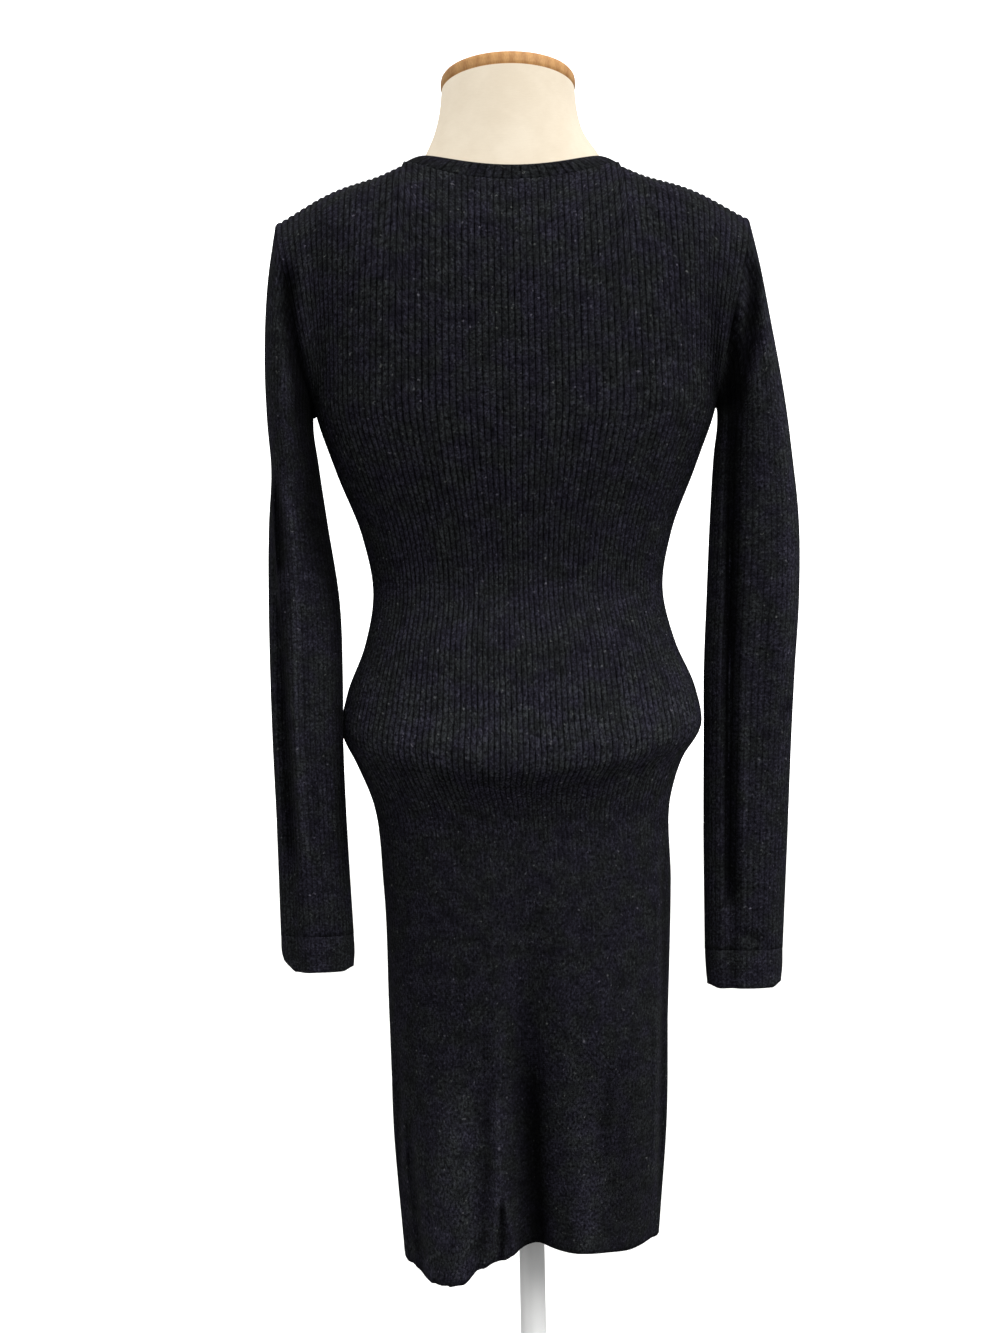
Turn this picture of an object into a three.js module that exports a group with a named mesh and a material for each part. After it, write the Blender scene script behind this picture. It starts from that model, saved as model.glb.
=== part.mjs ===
// Rib-knit sweater dress, worn on a limbless dress form with a round stand.
// Millimetres, +Z up. The origin is the centre of the stand's base, on the floor.
// The back of the dress faces -Y and the wearer's left is -X.
import * as THREE from 'three';
import { mergeVertices } from 'three/addons/utils/BufferGeometryUtils.js';

// Knit cloth
const WALL = 1.7;             // wall between the ribs
const RIB_HEIGHT = 0.9;       // how far a rib stands out of the wall
const SEAM_GAP = 0.3;         // room between two sewn pieces
const PANEL_RIBS = 54;        // ribs across one panel
const SLEEVE_RIBS = 28;       // ribs round one sleeve
const COLUMNS_PER_RIB = 2;    // a valley and a crest
const INNER_STEP = 4;         // outer columns to one inner column
const SECTION_SQUARE = 0.07;  // how far a section swells at its four corners

// Body sections from the hem up. z is the height at the side seams, left and right are
// the distances of the side seams from the middle, back and front the depths, and the
// drops say how much lower the section lies at the middle of the back and of the front.
const BODY_ROWS = [
  { at: 'hem', z: 469, left: 110, right: 109, back: 90, front: 92,
    backDrop: 0, frontDrop: 0, rib: 0.4 },
  { at: 'low skirt', z: 548, left: 117, right: 117, back: 95, front: 96,
    backDrop: 6, frontDrop: 3, rib: 0.4 },
  { at: 'skirt', z: 650, left: 120, right: 122, back: 97, front: 98,
    backDrop: 4, frontDrop: 2, rib: 0.4 },
  { at: 'high skirt', z: 760, left: 122.5, right: 126.5, back: 98, front: 99,
    backDrop: 4, frontDrop: 2, rib: 0.5 },
  { at: 'shelf foot', z: 838, left: 131, right: 128, back: 99, front: 99,
    backDrop: 3, frontDrop: 2, rib: 0.7 },
  { at: 'shelf turn', z: 868, left: 143, right: 137.5, back: 105, front: 103,
    backDrop: 21, frontDrop: 12, rib: 0.9 },
  { at: 'hip edge', z: 897, left: 155.5, right: 154.5, back: 118, front: 108,
    backDrop: 34, frontDrop: 20, rib: 1 },
  { at: 'hip', z: 927, left: 150.5, right: 150.5, back: 114.5, front: 110,
    backDrop: 20, frontDrop: 12, rib: 1 },
  { at: 'high hip', z: 970, left: 134, right: 133, back: 102, front: 104,
    backDrop: 6, frontDrop: 4, rib: 1 },
  { at: 'waist', z: 1015, left: 126, right: 123.5, back: 78, front: 93,
    backDrop: 0, frontDrop: 0, rib: 1 },
  { at: 'lower back', z: 1065, left: 134.5, right: 132, back: 82, front: 100,
    backDrop: 0, frontDrop: 0, rib: 1 },
  { at: 'rib cage', z: 1120, left: 155.5, right: 153.5, back: 94, front: 114,
    backDrop: 0, frontDrop: 0, rib: 1 },
  { at: 'underarm', z: 1172, left: 172.8, right: 172.5, back: 101, front: 123,
    backDrop: 0, frontDrop: 0, rib: 1 },
];
const FORM_FIRST_ROW = 6;     // the form ends at the hip edge

// How far the hem hangs below the foot of the side seams.
const HEM_LINE = {
  back: [
    { across: -1, drop: 1 },
    { across: -0.9, drop: 18 },
    { across: -0.78, drop: 28 },
    { across: -0.6, drop: 36 },
    { across: -0.47, drop: 39 },
    { across: -0.36, drop: 36 },
    { across: -0.26, drop: 23 },
    { across: -0.18, drop: 17 },
    { across: 0, drop: 7 },
    { across: 0.25, drop: 12 },
    { across: 0.55, drop: 15 },
    { across: 0.8, drop: 11 },
    { across: 1, drop: 1 },
  ],
  front: [
    { across: -1, drop: 1 },
    { across: -0.55, drop: 12 },
    { across: 0.1, drop: 5 },
    { across: 0.6, drop: 13 },
    { across: 1, drop: 1 },
  ],
};

// Shoulders and neckline
const SHOULDER_X = 206;
const SHOULDER_Z = 1337;
const NECK_X = 94;
const NECK_Z = 1385;
const NECK_TILT = -0.021;     // rise towards the right for each millimetre across the neck
const LEFT_CROWN = 5;         // how far the shoulders stand above a straight line
const RIGHT_CROWN = 5;
const RIGHT_FALL = 3;         // how much lower the right shoulder ends
const NECK_SHARE = NECK_X / SHOULDER_X;
const YOKE_STEPS = [0.14, 0.32, 0.54, 0.78, 1];
const FACES = {
  back: { sign: -1, neckCut: 0.3, rise: 62, yokeDepth: 92, yokeSwell: 22, yokeDip: -23,
    armBow: 70, armLift: 20, armDepth: 58, armDip: 14 },
  front: { sign: 1, neckCut: 0.4, rise: 66, yokeDepth: 86, yokeSwell: 17.5, yokeDip: 65.5,
    armBow: 62, armLift: 18, armDepth: 56, armDip: 14 },
};
const YOKE_MIDDLE = 0.75;     // how far from the middle the yoke's swell and dip reach
const YOKE_EDGE = 0.72;       // where the yoke starts to turn into the armhole

// Folds of the skirt. across runs from -1 at the left side seam to 1 at the right one,
// a positive depth is a ridge and a negative one a trough.
const SKIRT_FOLDS = [
  { face: 'back', acrossTop: -0.03, acrossHem: 0.03, top: 800, half: 0.17, depth: -11 },
  { face: 'back', acrossTop: -0.16, acrossHem: -0.14, top: 720, half: 0.08, depth: 4 },
  { face: 'back', acrossTop: -0.5, acrossHem: -0.44, top: 650, half: 0.24, depth: 7 },
  { face: 'back', acrossTop: 0.4, acrossHem: 0.38, top: 740, half: 0.26, depth: 4 },
  { face: 'back', acrossTop: -0.86, acrossHem: -0.84, top: 690, half: 0.08, depth: 3 },
  { face: 'back', acrossTop: 0.87, acrossHem: 0.86, top: 700, half: 0.08, depth: 3 },
  { face: 'front', acrossTop: 0.12, acrossHem: 0.1, top: 790, half: 0.18, depth: -9 },
  { face: 'front', acrossTop: -0.34, acrossHem: -0.3, top: 700, half: 0.22, depth: 6 },
  { face: 'front', acrossTop: 0.55, acrossHem: 0.5, top: 720, half: 0.2, depth: 6 },
];
const FOLD_FADE = 150;        // length over which a fold grows from nothing

// Sleeve sections from the underarm down, each with the distances of its inner and outer
// walls from the middle, its half depth and how far its middle lies behind the seams.
const SLEEVES = {
  left: {
    side: -1,
    rows: [
      { z: 1164, inner: 177, outer: 215.5, depth: 62, behind: 0 },
      { z: 1130, inner: 173, outer: 213, depth: 60, behind: 3 },
      { z: 1077, inner: 165.5, outer: 215.5, depth: 54, behind: 10 },
      { z: 1008, inner: 155.5, outer: 216, depth: 45, behind: 21 },
      { z: 940, inner: 153.5, outer: 215, depth: 38, behind: 31 },
      { z: 890, inner: 154, outer: 214, depth: 35, behind: 33 },
      { z: 820, inner: 152.5, outer: 212, depth: 32, behind: 31 },
      { z: 723.3, inner: 148.5, outer: 210.5, depth: 28, behind: 27 },
    ],
    cuff: [
      { z: 722.7, inner: 148.5, outer: 210.5, depth: 28, behind: 27 },
      { z: 707, inner: 148, outer: 210, depth: 26.5, behind: 26 },
      { z: 692, inner: 149, outer: 208.5, depth: 25, behind: 25 },
    ],
    folds: [
      { name: 'recess behind the outer ridge', turnTop: 20, turnEnd: 48, top: 1150, half: 26, depth: -9 },
      { name: 'ridge down the middle', turnTop: 44, turnEnd: 76, top: 1150, half: 16, depth: 2.5 },
      { name: 'front trough', turnTop: 262, turnEnd: 282, top: 1080, half: 24, depth: -6 },
    ],
    head: { out: 15.5, drop: 77 },
  },
  right: {
    side: 1,
    rows: [
      { z: 1164, inner: 175.5, outer: 235, depth: 56, behind: 0 },
      { z: 1130, inner: 171.5, outer: 238.5, depth: 52, behind: 2 },
      { z: 1077, inner: 167, outer: 243, depth: 44, behind: 5 },
      { z: 1008, inner: 162.5, outer: 242, depth: 37, behind: 8 },
      { z: 940, inner: 158.5, outer: 236.5, depth: 31, behind: 10 },
      { z: 890, inner: 157.5, outer: 233, depth: 28, behind: 10 },
      { z: 820, inner: 156, outer: 229, depth: 25, behind: 9 },
      { z: 702.3, inner: 155, outer: 222, depth: 23, behind: 7 },
    ],
    cuff: [
      { z: 701.7, inner: 155, outer: 222, depth: 23, behind: 7 },
      { z: 686, inner: 155.5, outer: 221.5, depth: 22.5, behind: 7 },
      { z: 669, inner: 156.5, outer: 220, depth: 22, behind: 7 },
    ],
    folds: [
      { name: 'long back crease', turnTop: 128, turnEnd: 114, top: 1150, half: 17, depth: -6 },
      { name: 'outer swell', turnTop: 60, turnEnd: 60, top: 1100, half: 40, depth: 2 },
      { name: 'front trough', turnTop: 250, turnEnd: 240, top: 1090, half: 24, depth: -6 },
    ],
    head: { out: 10.5, drop: 37 },
  },
};
const SLEEVE_HEAD_STEPS = [0, 0.3, 0.65];
const ARMHOLE_GAP = 0.45;     // measured sideways, so that the slanted seam keeps its room
const SLEEVE_RIB = 0.5;       // share of the body's rib height
const CUFF_COLUMNS = 36;
const CUFF_WALL = 2.2;

// Neckband
const BAND_WALL = 2.2;
const BAND_COLUMNS = 72;
const BAND_GAP = 1.1;         // wider than a seam, because the band curves between its columns
const BAND_UPPER = { x: 77, z: 1393 };
const BAND_UPPER_FACES = {
  back: { depth: 61, drop: 17, power: 2 },
  front: { depth: 79, drop: 75, power: 1.5 },
};

// Dress form and stand
const FORM_CLEAR = 3;         // room between the form and the knit
const FORM_SIDE_SHARE = 0.97;
const FORM_YOKE_SHARE = 0.85;
const FORM_HALF_COLUMNS = 18;
const FORM_YOKE = [
  { up: 0.25, inset: 6 },
  { up: 0.48, inset: 7 },
  { up: 0.68, inset: 10 },
  { up: 0.82, inset: 13.9 },
];
const NECK_ROWS = [
  { x: 78.5, back: 58, front: 66, sideZ: 1375, backZ: 1350, frontZ: 1310, lean: 0 },
  { x: 72.6, back: 55.5, front: 62, sideZ: 1394, backZ: 1372, frontZ: 1344, lean: 0 },
  { x: 69, back: 55, front: 60, sideZ: 1403, backZ: 1388, frontZ: 1374, lean: -0.4 },
  { x: 63.5, back: 55.2, front: 58.5, sideZ: 1414, backZ: 1406, frontZ: 1396, lean: -1.2 },
  { x: 60, back: 56, front: 57.8, sideZ: 1429, backZ: 1427, frontZ: 1416, lean: -2 },
];
const NECK_TOP_RADIUS = 57.8;
const CAP_CENTRE = { x: -1.5, y: 0, z: 1451.5 };
const CAP_TILT = 12;          // degrees, lower at the front
const CAP_RADIUS = 58.6;
const CAP_EDGE = 9.5;
const CAP_CROWN = 4;
const FORM_FOOT_Z = 866;
const FORM_FOOT_RADIUS = 62;
const FLANGE_RADIUS = 46;
const FLANGE_THICKNESS = 6;
const POLE_RADIUS = 11;
const BASE_RADIUS = 190;
const BASE_THICKNESS = 8;
const BASE_EDGE = 3;
const BOSS_RADIUS = 24;
const BOSS_HEIGHT = 26;
const ROUND_SEGMENTS = 40;

const HALF_TURN = Math.PI;
const QUARTER_TURN = Math.PI / 2;
const vector = (x, y, z) => new THREE.Vector3(x, y, z);
const mix = (a, b, share) => a + (b - a) * share;
const smooth = (share) => {
  const t = THREE.MathUtils.clamp(share, 0, 1);
  return t * t * (3 - 2 * t);
};
// A soft hump: 1 in the middle and 0 from the half width outwards.
const hump = (offset, half) => {
  const t = Math.min(1, Math.abs(offset / half));
  return (1 - t * t) ** 2;
};

// Body surface

const foldDepth = (faceName, across, z) => {
  let depth = 0;
  for (const fold of SKIRT_FOLDS) {
    if (fold.face !== faceName) continue;
    const down = THREE.MathUtils.clamp((fold.top - z) / (fold.top - BODY_ROWS[0].z), 0, 1);
    const middle = mix(fold.acrossTop, fold.acrossHem, down);
    const growth = smooth((fold.top - z) / FOLD_FADE);
    depth += fold.depth * growth * hump(across - middle, fold.half);
  }
  return depth;
};

const hemDrop = (faceName, across) => {
  const line = HEM_LINE[faceName];
  const next = Math.max(1, line.findIndex((point) => point.across >= across));
  const [from, to] = [line[next - 1], line[next]];
  return mix(from.drop, to.drop, smooth((across - from.across) / (to.across - from.across)));
};

// A point of the body, across from -1 to 1, on one of the sections below the underarm.
const bodyPoint = (faceName, across, row) => {
  const sign = FACES[faceName].sign;
  const half = (row.left + row.right) / 2;
  const middle = (row.right - row.left) / 2;
  const depth = row[faceName];
  const evening = (half - depth) / ((half + depth) * HALF_TURN);
  const turn = QUARTER_TURN * (across - evening * Math.sin(HALF_TURN * across));
  const sine = Math.sin(turn);
  const cosine = Math.cos(turn);
  const fold = foldDepth(faceName, across, row.z);
  const x = middle + half * sine * (1 + SECTION_SQUARE * cosine * cosine) + fold * sine * 0.6;
  const y = sign * (depth * cosine * (1 + SECTION_SQUARE * sine * sine) + fold * cosine);
  const drop = row.at === 'hem' ? hemDrop(faceName, across) : row[`${faceName}Drop`] * cosine ** 2;
  return vector(x, y + sign * SEAM_GAP / 2, row.z - drop);
};

// How far along the neckline a point of the top edge lies: 1 at the middle, 0 on the shoulder.
const neckShare = (across) => {
  const share = Math.min(1, Math.abs(across) / NECK_SHARE);
  return Math.sqrt(1 - share * share);
};

const shoulderHeight = (across) => {
  const outside = Math.max(0, Math.abs(across) - NECK_SHARE) / (1 - NECK_SHARE);
  const neck = NECK_Z + NECK_TILT * SHOULDER_X * THREE.MathUtils.clamp(across, -NECK_SHARE, NECK_SHARE);
  const crown = (across < 0 ? LEFT_CROWN : RIGHT_CROWN) * hump(outside - 0.57, 0.43);
  const end = SHOULDER_Z - (across > 0 ? RIGHT_FALL : 0);
  return mix(neck, end, outside) + crown;
};

// The yoke rises from the underarm section to the line of the shoulders, and the neckline
// cuts its middle short of that line.
const yokeControls = (faceName, across) => {
  const face = FACES[faceName];
  const start = bodyPoint(faceName, across, BODY_ROWS[BODY_ROWS.length - 1]);
  const end = vector(SHOULDER_X * across, face.sign * SEAM_GAP / 2, shoulderHeight(across));
  const centre = hump(across, YOKE_MIDDLE);
  const edge = smooth((Math.abs(across) - YOKE_EDGE) / (1 - YOKE_EDGE));
  const depth = mix(face.yokeDepth + face.yokeSwell * centre, face.armDepth, edge);
  const dip = face.yokeDip * centre + face.armDip * edge;
  const bow = face.armBow * edge ** 2;
  const rise = mix(face.rise, face.armLift, edge ** 2);
  const first = start.clone().add(vector(0, face.sign * bow, rise));
  const second = vector(end.x, face.sign * depth, shoulderHeight(across) - dip);
  return [start, first, second, end];
};
const yokePoint = (faceName, across, up) => {
  const cut = 1 - FACES[faceName].neckCut * neckShare(across);
  return new THREE.CubicBezierCurve3(...yokeControls(faceName, across)).getPoint(up * cut);
};

// Directions in which the wall has its thickness, the same for both pieces of a seam.
const shoulderNormal = (side) => {
  const slope = Math.atan2(NECK_Z - SHOULDER_Z, SHOULDER_X - NECK_X);
  return vector(side * Math.sin(slope), 0, Math.cos(slope));
};
const topNormal = (faceName, across) => {
  const share = neckShare(across);
  const outward = vector(0, FACES[faceName].sign * 0.94, 0.34);
  return shoulderNormal(Math.sign(across)).lerp(outward, share).normalize();
};
const armholeNormal = (faceName, side, up) => {
  if (up > 0.999) return shoulderNormal(side);
  const curve = new THREE.CubicBezierCurve3(...yokeControls(faceName, side));
  const along = curve.getTangent(up);
  const sign = FACES[faceName].sign;
  const normal = vector(0, sign * along.z, -sign * along.y).normalize();
  if (up < 0.001) normal.set(side, 0, -1).normalize();
  return normal;
};

// Walls from grids of points

const gridNormals = (grid, closed) => grid.map((row, j) => row.map((point, i) => {
  const count = row.length;
  const before = closed ? (i + count - 1) % count : Math.max(0, i - 1);
  const after = closed ? (i + 1) % count : Math.min(count - 1, i + 1);
  const below = grid[Math.max(0, j - 1)][i];
  const above = grid[Math.min(grid.length - 1, j + 1)][i];
  const across = row[after].clone().sub(row[before]);
  return across.cross(above.clone().sub(below)).normalize();
}));

const solid = (positions, indices) => {
  let geometry = new THREE.BufferGeometry();
  geometry.setAttribute('position', new THREE.Float32BufferAttribute(positions, 3));
  geometry.setIndex(indices);
  geometry = mergeVertices(geometry, 1e-4);
  return outwards(geometry);
};

// Turns the faces round where they enclose a negative volume.
const outwards = (geometry) => {
  const position = geometry.getAttribute('position');
  const index = geometry.getIndex().array;
  const [a, b, c] = [vector(), vector(), vector()];
  let volume = 0;
  for (let i = 0; i < index.length; i += 3) {
    a.fromBufferAttribute(position, index[i]);
    b.fromBufferAttribute(position, index[i + 1]);
    c.fromBufferAttribute(position, index[i + 2]);
    volume += a.dot(b.cross(c));
  }
  if (volume < 0) {
    for (let i = 0; i < index.length; i += 3) {
      [index[i], index[i + 1]] = [index[i + 1], index[i]];
    }
  }
  geometry.computeVertexNormals();
  return geometry;
};

// A closed wall between an outer grid and an inner one that has every nth of its columns.
const wallGeometry = (outer, inner, closed) => {
  const positions = [];
  const indices = [];
  const number = (point) => positions.push(point.x, point.y, point.z) / 3 - 1;
  const outerIds = outer.map((row) => row.map(number));
  const innerIds = inner.map((row) => row.map(number));
  const triangle = (a, b, c) => indices.push(a, b, c);
  const quad = (a, b, c, d) => {
    triangle(a, b, c);
    triangle(a, c, d);
  };
  const skin = (ids, flip) => {
    const count = ids[0].length;
    const spans = closed ? count : count - 1;
    for (let j = 0; j < ids.length - 1; j += 1) {
      for (let i = 0; i < spans; i += 1) {
        const k = (i + 1) % count;
        const corners = [ids[j][i], ids[j][k], ids[j + 1][k], ids[j + 1][i]];
        quad(...(flip ? corners.reverse() : corners));
      }
    }
  };
  skin(outerIds, false);
  skin(innerIds, true);
  const rim = (outside, inside, flip) => {
    const step = Math.round(outside.length / inside.length);
    const spans = closed ? inside.length : inside.length - 1;
    const face = (a, b, c) => (flip ? triangle(a, c, b) : triangle(a, b, c));
    for (let i = 0; i < spans; i += 1) {
      const here = inside[i];
      const next = inside[(i + 1) % inside.length];
      for (let k = 0; k < step; k += 1) {
        const first = outside[i * step + k];
        const second = outside[(i * step + k + 1) % outside.length];
        face(k < step / 2 ? here : next, second, first);
        if (k === Math.floor((step - 1) / 2)) face(here, next, second);
      }
    }
  };
  rim(outerIds[0], innerIds[0], false);
  rim(outerIds[outerIds.length - 1], innerIds[innerIds.length - 1], true);
  if (!closed) {
    for (let j = 0; j < outerIds.length - 1; j += 1) {
      const end = outerIds[j].length - 1;
      const innerEnd = innerIds[j].length - 1;
      quad(outerIds[j][0], outerIds[j + 1][0], innerIds[j + 1][0], innerIds[j][0]);
      quad(outerIds[j][end], innerIds[j][innerEnd], innerIds[j + 1][innerEnd], outerIds[j + 1][end]);
    }
  }
  return solid(positions, indices);
};

const offsetGrid = (grid, normals, offset) => grid.map((row, j) => row.map((point, i) =>
  point.clone().addScaledVector(normals[j][i], offset(i, j))));
const everyColumn = (grid, step) => grid.map((row) => row.filter((_, i) => i % step === 0));

const ribbedWall = (grid, normals, ribAt, closed) => {
  const crest = (i, j) => (i % COLUMNS_PER_RIB) * RIB_HEIGHT * ribAt(j);
  const outer = offsetGrid(grid, normals, crest);
  const inner = everyColumn(offsetGrid(grid, normals, () => -WALL), INNER_STEP);
  return wallGeometry(outer, inner, closed);
};

// Front and back

const panelGeometry = (faceName) => {
  const columns = PANEL_RIBS * COLUMNS_PER_RIB;
  const acrossAt = (i) => (2 * i) / columns - 1;
  const line = (pointAt) => Array.from({ length: columns + 1 }, (_, i) => pointAt(acrossAt(i)));
  const grid = BODY_ROWS.map((row) => line((across) => bodyPoint(faceName, across, row)));
  YOKE_STEPS.forEach((up) => grid.push(line((across) => yokePoint(faceName, across, up))));
  const normals = gridNormals(grid, false);
  if (faceName === 'front') normals.forEach((row) => row.forEach((normal) => normal.negate()));
  const underarm = BODY_ROWS.length - 1;
  [-1, 1].forEach((side) => {
    const i = side < 0 ? 0 : columns;
    [0, ...YOKE_STEPS].forEach((up, k) => {
      normals[underarm + k][i] = armholeNormal(faceName, side, up);
    });
    for (let j = 0; j < underarm; j += 1) {
      normals[j][i].y = 0;
      normals[j][i].normalize();
    }
  });
  normals[grid.length - 1] = line((across) => topNormal(faceName, across));
  const ribAt = (j) => (j <= underarm ? BODY_ROWS[j].rib : 1);
  return ribbedWall(grid, normals, ribAt, false);
};

// Sleeves and cuffs

// turn is 0 at the outer wall, a quarter turn at the back and a half turn at the inner wall.
const sleevePoint = (sleeve, row, turn) => {
  const half = (row.outer - row.inner) / 2;
  const middle = (row.outer + row.inner) / 2;
  const degrees = THREE.MathUtils.radToDeg(turn);
  const last = sleeve.rows[sleeve.rows.length - 1].z;
  let fold = 0;
  for (const crease of sleeve.folds) {
    const down = THREE.MathUtils.clamp((crease.top - row.z) / (crease.top - last), 0, 1);
    const place = mix(crease.turnTop, crease.turnEnd, smooth(down * 1.6));
    const growth = smooth((crease.top - row.z) / FOLD_FADE) * mix(1, 0.7, down);
    fold += crease.depth * growth * hump(degrees - place, crease.half);
  }
  const x = sleeve.side * (middle + (half + fold * 0.5) * Math.cos(turn));
  const y = -row.behind - (row.depth + fold) * Math.sin(turn);
  return vector(x, y, row.z);
};

// The armhole seam runs straight between the yoke's steps, as the panels' edges do.
const armholePoint = (sleeve, turn) => {
  const { side } = sleeve;
  const around = turn / HALF_TURN;
  const faceName = around <= 1 ? 'back' : 'front';
  const up = Math.abs(1 - around);
  const steps = [0, ...YOKE_STEPS];
  const k = Math.min(steps.length - 2, steps.findLastIndex((step) => step <= up));
  const share = (up - steps[k]) / (steps[k + 1] - steps[k]);
  const pointAt = (step) => yokePoint(faceName, side, step);
  const normalAt = (step) =>
    (step === 0 ? vector(-side, 0, -1).normalize() : armholeNormal(faceName, side, step));
  return {
    point: pointAt(steps[k]).lerp(pointAt(steps[k + 1]), share).add(vector(side * ARMHOLE_GAP, 0, 0)),
    normal: normalAt(steps[k]).lerp(normalAt(steps[k + 1]), share),
  };
};

const sleeveGeometry = (sleeve) => {
  const columns = SLEEVE_RIBS * COLUMNS_PER_RIB;
  const turnAt = (i) => (i / columns) * 2 * HALF_TURN;
  const line = (pointAt) => Array.from({ length: columns }, (_, i) => pointAt(turnAt(i)));
  const headPoint = (turn, along) => {
    const start = armholePoint(sleeve, turn).point;
    const end = sleevePoint(sleeve, sleeve.rows[0], turn);
    const level = (start.y + end.y) / 2;
    const under = vector(end.x, level, start.z - 1);
    const outer = vector(start.x + sleeve.side * sleeve.head.out, level, start.z - sleeve.head.drop);
    const control = under.lerp(outer, Math.max(0, Math.cos(turn)));
    return new THREE.QuadraticBezierCurve3(start, control, end).getPoint(along);
  };
  const grid = SLEEVE_HEAD_STEPS.map((along) => line((turn) => headPoint(turn, along)));
  sleeve.rows.forEach((row) => grid.push(line((turn) => sleevePoint(sleeve, row, turn))));
  const normals = gridNormals(grid, true);
  if (sleeve.side < 0) normals.forEach((row) => row.forEach((normal) => normal.negate()));
  normals[0] = line((turn) => armholePoint(sleeve, turn).normal);
  return ribbedWall(grid, normals, () => SLEEVE_RIB, true);
};

const cuffGeometry = (sleeve) => {
  const line = (row) => Array.from({ length: CUFF_COLUMNS }, (_, i) =>
    sleevePoint(sleeve, row, (i / CUFF_COLUMNS) * 2 * HALF_TURN));
  const grid = sleeve.cuff.map(line);
  const normals = gridNormals(grid, true);
  if (sleeve.side < 0) normals.forEach((row) => row.forEach((normal) => normal.negate()));
  const inner = offsetGrid(grid, normals, () => -CUFF_WALL);
  return wallGeometry(grid, inner, true);
};

// Neckband

const neckbandGeometry = () => {
  const columns = BAND_COLUMNS;
  // The turn starts at the middle of the back and passes the middle of the front half way.
  const loop = (pointAt) => Array.from({ length: columns }, (_, i) => {
    const turn = (i / columns) * 2 * HALF_TURN;
    const cosine = Math.cos(turn);
    return pointAt(cosine >= 0 ? 'back' : 'front', Math.sin(turn), Math.abs(cosine));
  });
  const lower = loop((faceName, sine) => ({
    point: yokePoint(faceName, sine * NECK_SHARE, 1),
    normal: topNormal(faceName, sine * NECK_SHARE),
  }));
  const upper = loop((faceName, sine, share) => {
    const { depth, drop, power } = BAND_UPPER_FACES[faceName];
    const y = FACES[faceName].sign * depth * share;
    const x = BAND_UPPER.x * sine;
    return vector(x, y, BAND_UPPER.z + NECK_TILT * x - drop * share ** power);
  });
  const start = lower.map(({ point }, i) => {
    const along = upper[i].clone().sub(point).normalize();
    return point.clone().addScaledVector(along, BAND_GAP);
  });
  const middle = start.map((point, i) => point.clone().lerp(upper[i], 0.5)
    .addScaledVector(lower[i].normal, 0.8));
  const grid = [start, middle, upper];
  const normals = grid.map((row, j) => row.map((_, i) => {
    const along = upper[i].clone().sub(start[i]).normalize();
    const normal = lower[i].normal.clone();
    const square = normal.clone().addScaledVector(along, -normal.dot(along)).normalize();
    return j === 0 ? normal : square;
  }));
  const inner = offsetGrid(grid, normals, () => -BAND_WALL);
  return wallGeometry(grid, inner, true);
};

// Dress form

const formGeometry = () => {
  const half = FORM_HALF_COLUMNS;
  const loop = (share, pointAt) => {
    const points = [];
    for (let i = 0; i <= half; i += 1) points.push(pointAt('back', share * ((2 * i) / half - 1)));
    for (let i = half; i >= 0; i -= 1) points.push(pointAt('front', share * ((2 * i) / half - 1)));
    return points;
  };
  const cloth = BODY_ROWS.slice(FORM_FIRST_ROW).map((row) =>
    loop(FORM_SIDE_SHARE, (faceName, across) => bodyPoint(faceName, across, row)));
  const bodyRings = cloth.length;
  FORM_YOKE.forEach(({ up }) => cloth.push(
    loop(FORM_YOKE_SHARE, (faceName, across) => yokePoint(faceName, across, up))));
  const normals = gridNormals(cloth, true);
  const insetAt = (j) => (j < bodyRings ? WALL + FORM_CLEAR : FORM_YOKE[j - bodyRings].inset);
  const torso = offsetGrid(cloth, normals, (i, j) => -insetAt(j));
  const neck = NECK_ROWS.map((row) => loop(1, (faceName, across) => {
    const turn = QUARTER_TURN * across * (half / (half + 1));
    const cosine = Math.cos(turn);
    const z = mix(row.sideZ, row[`${faceName}Z`], cosine * cosine);
    return vector(row.lean + row.x * Math.sin(turn), FACES[faceName].sign * row[faceName] * cosine, z);
  }));
  const underCap = (y) => CAP_CENTRE.z - SEAM_GAP - y * Math.tan(THREE.MathUtils.degToRad(CAP_TILT));
  neck.push(neck[neck.length - 1].map((point) => {
    const angle = Math.atan2(point.y, point.x - CAP_CENTRE.x);
    const y = NECK_TOP_RADIUS * Math.sin(angle);
    return vector(CAP_CENTRE.x + NECK_TOP_RADIUS * Math.cos(angle), y, underCap(y));
  }));
  const bevel = torso[0].map((point) => vector(point.x * 0.955, point.y * 0.94, point.z - 4));
  const foot = bevel.map((point) => {
    const angle = Math.atan2(point.y, point.x);
    return vector(FORM_FOOT_RADIUS * Math.cos(angle), FORM_FOOT_RADIUS * Math.sin(angle), FORM_FOOT_Z);
  });
  const rings = [foot, bevel, ...torso, ...neck];
  const positions = rings.flat().flatMap((point) => [point.x, point.y, point.z]);
  const count = rings[0].length;
  const indices = [];
  for (let j = 0; j < rings.length - 1; j += 1) {
    for (let i = 0; i < count; i += 1) {
      const k = (i + 1) % count;
      const [a, b] = [j * count + i, j * count + k];
      indices.push(a, b, b + count, a, b + count, a + count);
    }
  }
  const close = (first, centre, flip) => {
    const middle = positions.push(centre.x, centre.y, centre.z) / 3 - 1;
    for (let i = 0; i < count; i += 1) {
      const [a, b] = [first + i, first + ((i + 1) % count)];
      indices.push(...(flip ? [middle, b, a] : [middle, a, b]));
    }
  };
  close(0, vector(0, 0, FORM_FOOT_Z), true);
  close((rings.length - 1) * count, vector(CAP_CENTRE.x, 0, underCap(0)), false);
  return solid(positions, indices);
};

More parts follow.
